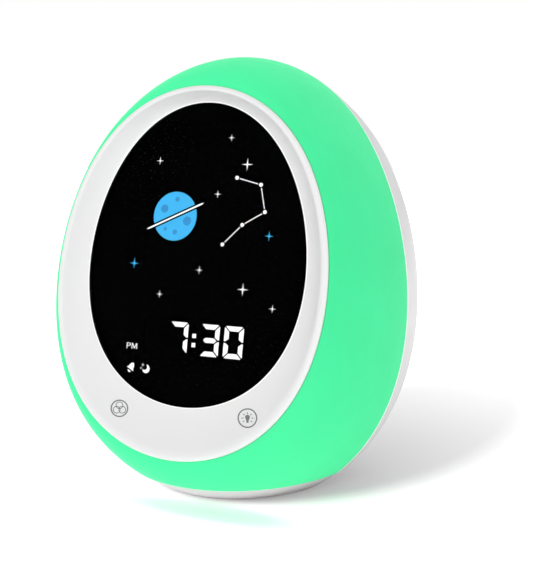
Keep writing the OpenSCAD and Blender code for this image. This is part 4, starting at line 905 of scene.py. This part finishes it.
def door_arrow():
    """An arrow that points at the hinge, narrower at its crest."""
    return stack([[(*p, BACK_Z + z) for p in placed(ARROW, 0, ARROW_Y, 0, k)]
                  for k, z in zip((1, 1, 0.86), ARROW_LEVELS)])


door_parts = [door_panel()]
for x in (-TAB_X, TAB_X):
    door_parts.append(block(x, STEM_Y, TAB_W, STEM_H, ROOT_Z, TAB_END))
    door_parts.append(block(x, GRIP_Y, TAB_W, GRIP_H, GRIP_Z, TAB_END))
door_parts.append(block(0, CATCH_Y, CATCH_W, CATCH_H, ROOT_Z, CATCH_END))
door_parts += [door_rib(i) for i in range(RIBS)]
door_parts.append(door_arrow())
piece("door_panel", mesh_of(*joined(door_parts)), M["case"], "battery_door_body", ("battery_door",))

# ---- rear buttons ----
BUTTONS = ["mode_button", "set_button", "down_button", "up_button", "alarm_button", "sound_button"]
BUTTON_RISE, BUTTON_FLANGE_R, BUTTON_FLANGE_T = 1.2, 4.5, 1
STEM_R, STEM_L = 1.5, 3.6
# The cap's shallow hollow and its round edge: radius, and depth under its highest circle
CAP = [(0.6, 0.32), (1.6, 0.22), (2.4, 0.06), (2.8, 0), (3.05, 0.04), (3.3, 0.2), (3.44, 0.42),
       (BUTTON_R, 0.75)]
cap_top, flange_z = BACK_Z - BUTTON_RISE, INNER_Z + PLAY
button_profile = [(r, cap_top + z) for r, z in CAP]
button_profile += [(BUTTON_R, flange_z), (BUTTON_FLANGE_R, flange_z),
                   (BUTTON_FLANGE_R, flange_z + BUTTON_FLANGE_T), (STEM_R, flange_z + BUTTON_FLANGE_T),
                   (STEM_R, INNER_Z + STEM_L)]
for x, name in zip(BUTTON_X, BUTTONS):
    button_mesh = mesh_of(*lathe(x, BUTTON_Y, button_profile))
    piece(name + "_cap", button_mesh, M["button"], name + "_body", (name,))

# ---- signs over the rear buttons ----
SIGN_Y = 27
MODE_X, SET_X, DOWN_X, UP_X, ALARM_X, SOUND_X = BUTTON_X


def label(name, loops):
    piece(name, on_face(flat(loops, BACK_Z - 0.03, BACK_Z + 0.01)), M["label_grey"])


def arc(r, start, end, step):
    """Points of a circle round the sound sign's middle, with the angles counted from the left."""
    return [(SOUND_X - r * cos(radians(a)), SIGN_Y + r * sin(radians(a))) for a in range(start, end, step)]


label("mode_sign", [bar(MODE_X, SIGN_Y + d, 3, 0.4) for d in (-0.9, 0, 0.9)])
label("set_sign", hoop(SET_X, SIGN_Y, 1.35, 0.35, 40) + [bar(SET_X, SIGN_Y + 0.35, 0.3, 1.0)])
label("down_sign", [placed([(-1.4, 0.9), (1.4, 0.9), (0, -1.3)], DOWN_X, SIGN_Y)])
label("up_sign", [placed([(-1.4, -1.0), (1.4, -1.0), (0, 1.2)], UP_X, SIGN_Y)])
label("alarm_sign", [placed(loop, ALARM_X, SIGN_Y, 0, 1.25) for loop in (bell, clapper)])
speaker_loop = [(1.7, -0.5), (1.0, -0.5), (0, -1.3), (0, 1.3), (1.0, 0.5), (1.7, 0.5)]
waves = [arc(r, -40, 41, 10) + arc(r - 0.3, 40, -41, -10) for r in (1.2, 1.9)]
label("sound_sign", [placed(speaker_loop, SOUND_X, SIGN_Y)] + waves)

# ---- foot ----
FOOT_Y, FOOT_BEVEL = -6, 0.25
PAD_SPOTS, PAD_HOLE_R, PAD_DEPTH = ((-17, -10), (17, -10), (-15, 17.5), (15, 17.5)), 4.15, 1.3
BASE_SPOTS, BASE_HEAD_R, BASE_HEAD_DEPTH = [(x, y) for x in (-9, 9) for y in (-13, 14)], 2.77, 2.16
egg = turned(shell_section, FOOT_INSET, 30) + turned(cover_section, FOOT_INSET, 30)[1:]
foot_mesh = carve(mesh_of(*skin(egg, False)), [slab(FOOT_GAP, FOOT_H)], "INTERSECT")


def on_lower_rim(edge):
    """True for an edge between the foot's flat underside and its side."""
    tilts = [abs(face.normal.z) for face in edge.link_faces]
    lowest = all(abs(v.co.z - FOOT_GAP / 1000) < 1e-6 for v in edge.verts)
    return lowest and len(tilts) == 2 and min(tilts) < 0.99 < max(tilts)


bm = bmesh.new()
bm.from_mesh(foot_mesh)
rim_edges = [e for e in bm.edges if on_lower_rim(e)]
bmesh.ops.bevel(bm, geom=rim_edges, offset=FOOT_BEVEL / 1000, segments=3, profile=0.5, affect="EDGES")
bm.to_mesh(foot_mesh)
bm.free()
pads = [rod(x, FOOT_Y + y, PAD_HOLE_R, -1, PAD_DEPTH) for x, y in PAD_SPOTS]
heads = [rod(x, FOOT_Y + y, BASE_HEAD_R, -1, BASE_HEAD_DEPTH) for x, y in BASE_SPOTS]
foot_mesh = carve(foot_mesh, [mesh_of(*joined(pads + heads), TABLE)])
piece("foot", foot_mesh, M["foot"], replaces=("base_foot",))

# ---- the other CAD pieces get their finish by material slot; the digit module keeps its flat sides ----
slots = {s["node"]: s["material_slot"] for s in frame["record"]["subparts"]}
for node, obj in frame["nodes"].items():
    obj.data.materials.clear()
    if node == "digit_module":
        obj.data.materials.append(M["module"])
        continue
    obj.data.materials.append(M[slots[node]])
    for face in obj.data.polygons:
        face.use_smooth = True
    obj.data.set_sharp_from_angle(angle=radians(28))

# ---- floor: its lengths are in metres ----
FLOOR_SIZE = 12
floor = material("floor")
seen = floor.seen()
spot = floor.add("ShaderNodeSeparateXYZ", Vector=floor.place())


def reach(x, y, rx, ry):
    """How far a place on the floor lies from x, y, counted in the half widths rx and ry."""
    u = floor.math("DIVIDE", floor.math("SUBTRACT", spot.outputs["X"], x), rx)
    v = floor.math("DIVIDE", floor.math("SUBTRACT", spot.outputs["Y"], y), ry)
    squares = floor.math("ADD", floor.math("MULTIPLY", u, u), floor.math("MULTIPLY", v, v))
    return floor.math("POWER", squares, 0.5)


# The backdrop's own light: low near the base, so its shadow stays, and higher further away
away = floor.add("ShaderNodeMapRange", Value=reach(0, -0.008, 1, 1), From_Min=0.045, From_Max=0.165,
                 To_Min=0.26, To_Max=0.62)
# The pool of green that the shell's lower edge throws in front of the base
pool = floor.ramp(reach(0.009, -0.0395, 0.038, 0.01),
                  [(0.0, srgb(186, 242, 202)), (0.5, srgb(202, 246, 214)), (1.0, (1, 1, 1, 1))])
paper = floor.ramp(floor.noise(30), [(0.3, 0.545), (0.7, 0.555)])
# The mixing node's colours are its sockets 6 and 7, and its mixed colour is its output 2
tinted = floor.add("ShaderNodeMix", {"data_type": "RGBA", "blend_type": "MULTIPLY"})
for socket, value in ((0, seen), (6, paper), (7, pool)):
    floor.put(tinted, socket, value)
floor.set(Base_Color=tinted.outputs[2], Roughness=0.9, Specular_IOR_Level=0.1)
floor.set(Emission_Color=pool, Emission_Strength=floor.math("MULTIPLY", seen, away.outputs["Result"]))
ground_mesh = bpy.data.meshes.new("floor")
ground_mesh.from_pydata([(x, y, 0) for x, y in bar(0, 0, FLOOR_SIZE, FLOOR_SIZE)], [], [(0, 1, 2, 3)])
ground_mesh.materials.append(floor.owner)
ground = bpy.data.objects.new("floor", ground_mesh)
scene.collection.objects.link(ground)

# ---- surroundings: pure white where they are seen, and a little dimmer as a light ----
SKY_LIGHT, SKY_SEEN = 0.74, 1.0
sky = Nodes(bpy.data.worlds.new("studio"), "Background")
level = sky.add("ShaderNodeMapRange", Value=sky.seen(), To_Min=SKY_LIGHT, To_Max=SKY_SEEN)
sky.set(Color=(1, 1, 1, 1), Strength=level.outputs["Result"])
scene.world = sky.owner


# ---- lamps ----
def sun(name, strength, spread, place, obj, state):
    """A lamp that shines from a place to the origin, and lights one object only, or all but that one."""
    lamp = bpy.data.lights.new(name, "SUN")
    lamp.energy, lamp.angle = strength, radians(spread)
    lamp_obj = bpy.data.objects.new(name, lamp)
    lamp_obj.location = place
    lamp_obj.rotation_euler = (-Vector(place)).to_track_quat("-Z", "Y").to_euler()
    scene.collection.objects.link(lamp_obj)
    group = bpy.data.collections.new(name + "_receivers")
    group.objects.link(obj)
    group.collection_objects[0].light_linking.link_state = state
    lamp_obj.light_linking.receiver_collection = group


# One throws the part's shadow on the floor, and the other, wider and weaker, lights the part
sun("shadow_sun", 7.8, 22, (-0.3, -0.77, 0.565), ground, "INCLUDE")
sun("softbox", 0.85, 70, (0.4, -0.87, 0.28), ground, "EXCLUDE")

# ---- camera: its lengths are in metres, but for its sensor and lens ----
AZIMUTH, ELEVATION, DISTANCE = radians(24.97), radians(7.94), 0.270
TARGET = Vector((0.02649, -0.0368, 0.06806))
SENSOR_W, LENS, CLIP_START = 36, 59.84, 0.01
backward = Vector((sin(AZIMUTH) * cos(ELEVATION), -cos(AZIMUTH) * cos(ELEVATION), sin(ELEVATION)))
right = Vector((cos(AZIMUTH), sin(AZIMUTH), 0))
turn = Matrix((right, backward.cross(right), backward)).transposed().to_4x4()
camera_data = bpy.data.cameras.new("camera")
camera_data.sensor_width, camera_data.lens, camera_data.clip_start = SENSOR_W, LENS, CLIP_START
camera = bpy.data.objects.new("camera", camera_data)
camera.matrix_world = Matrix.Translation(TARGET + backward * DISTANCE) @ turn
scene.collection.objects.link(camera)
scene.camera = camera
scene.view_settings.view_transform = "Standard"
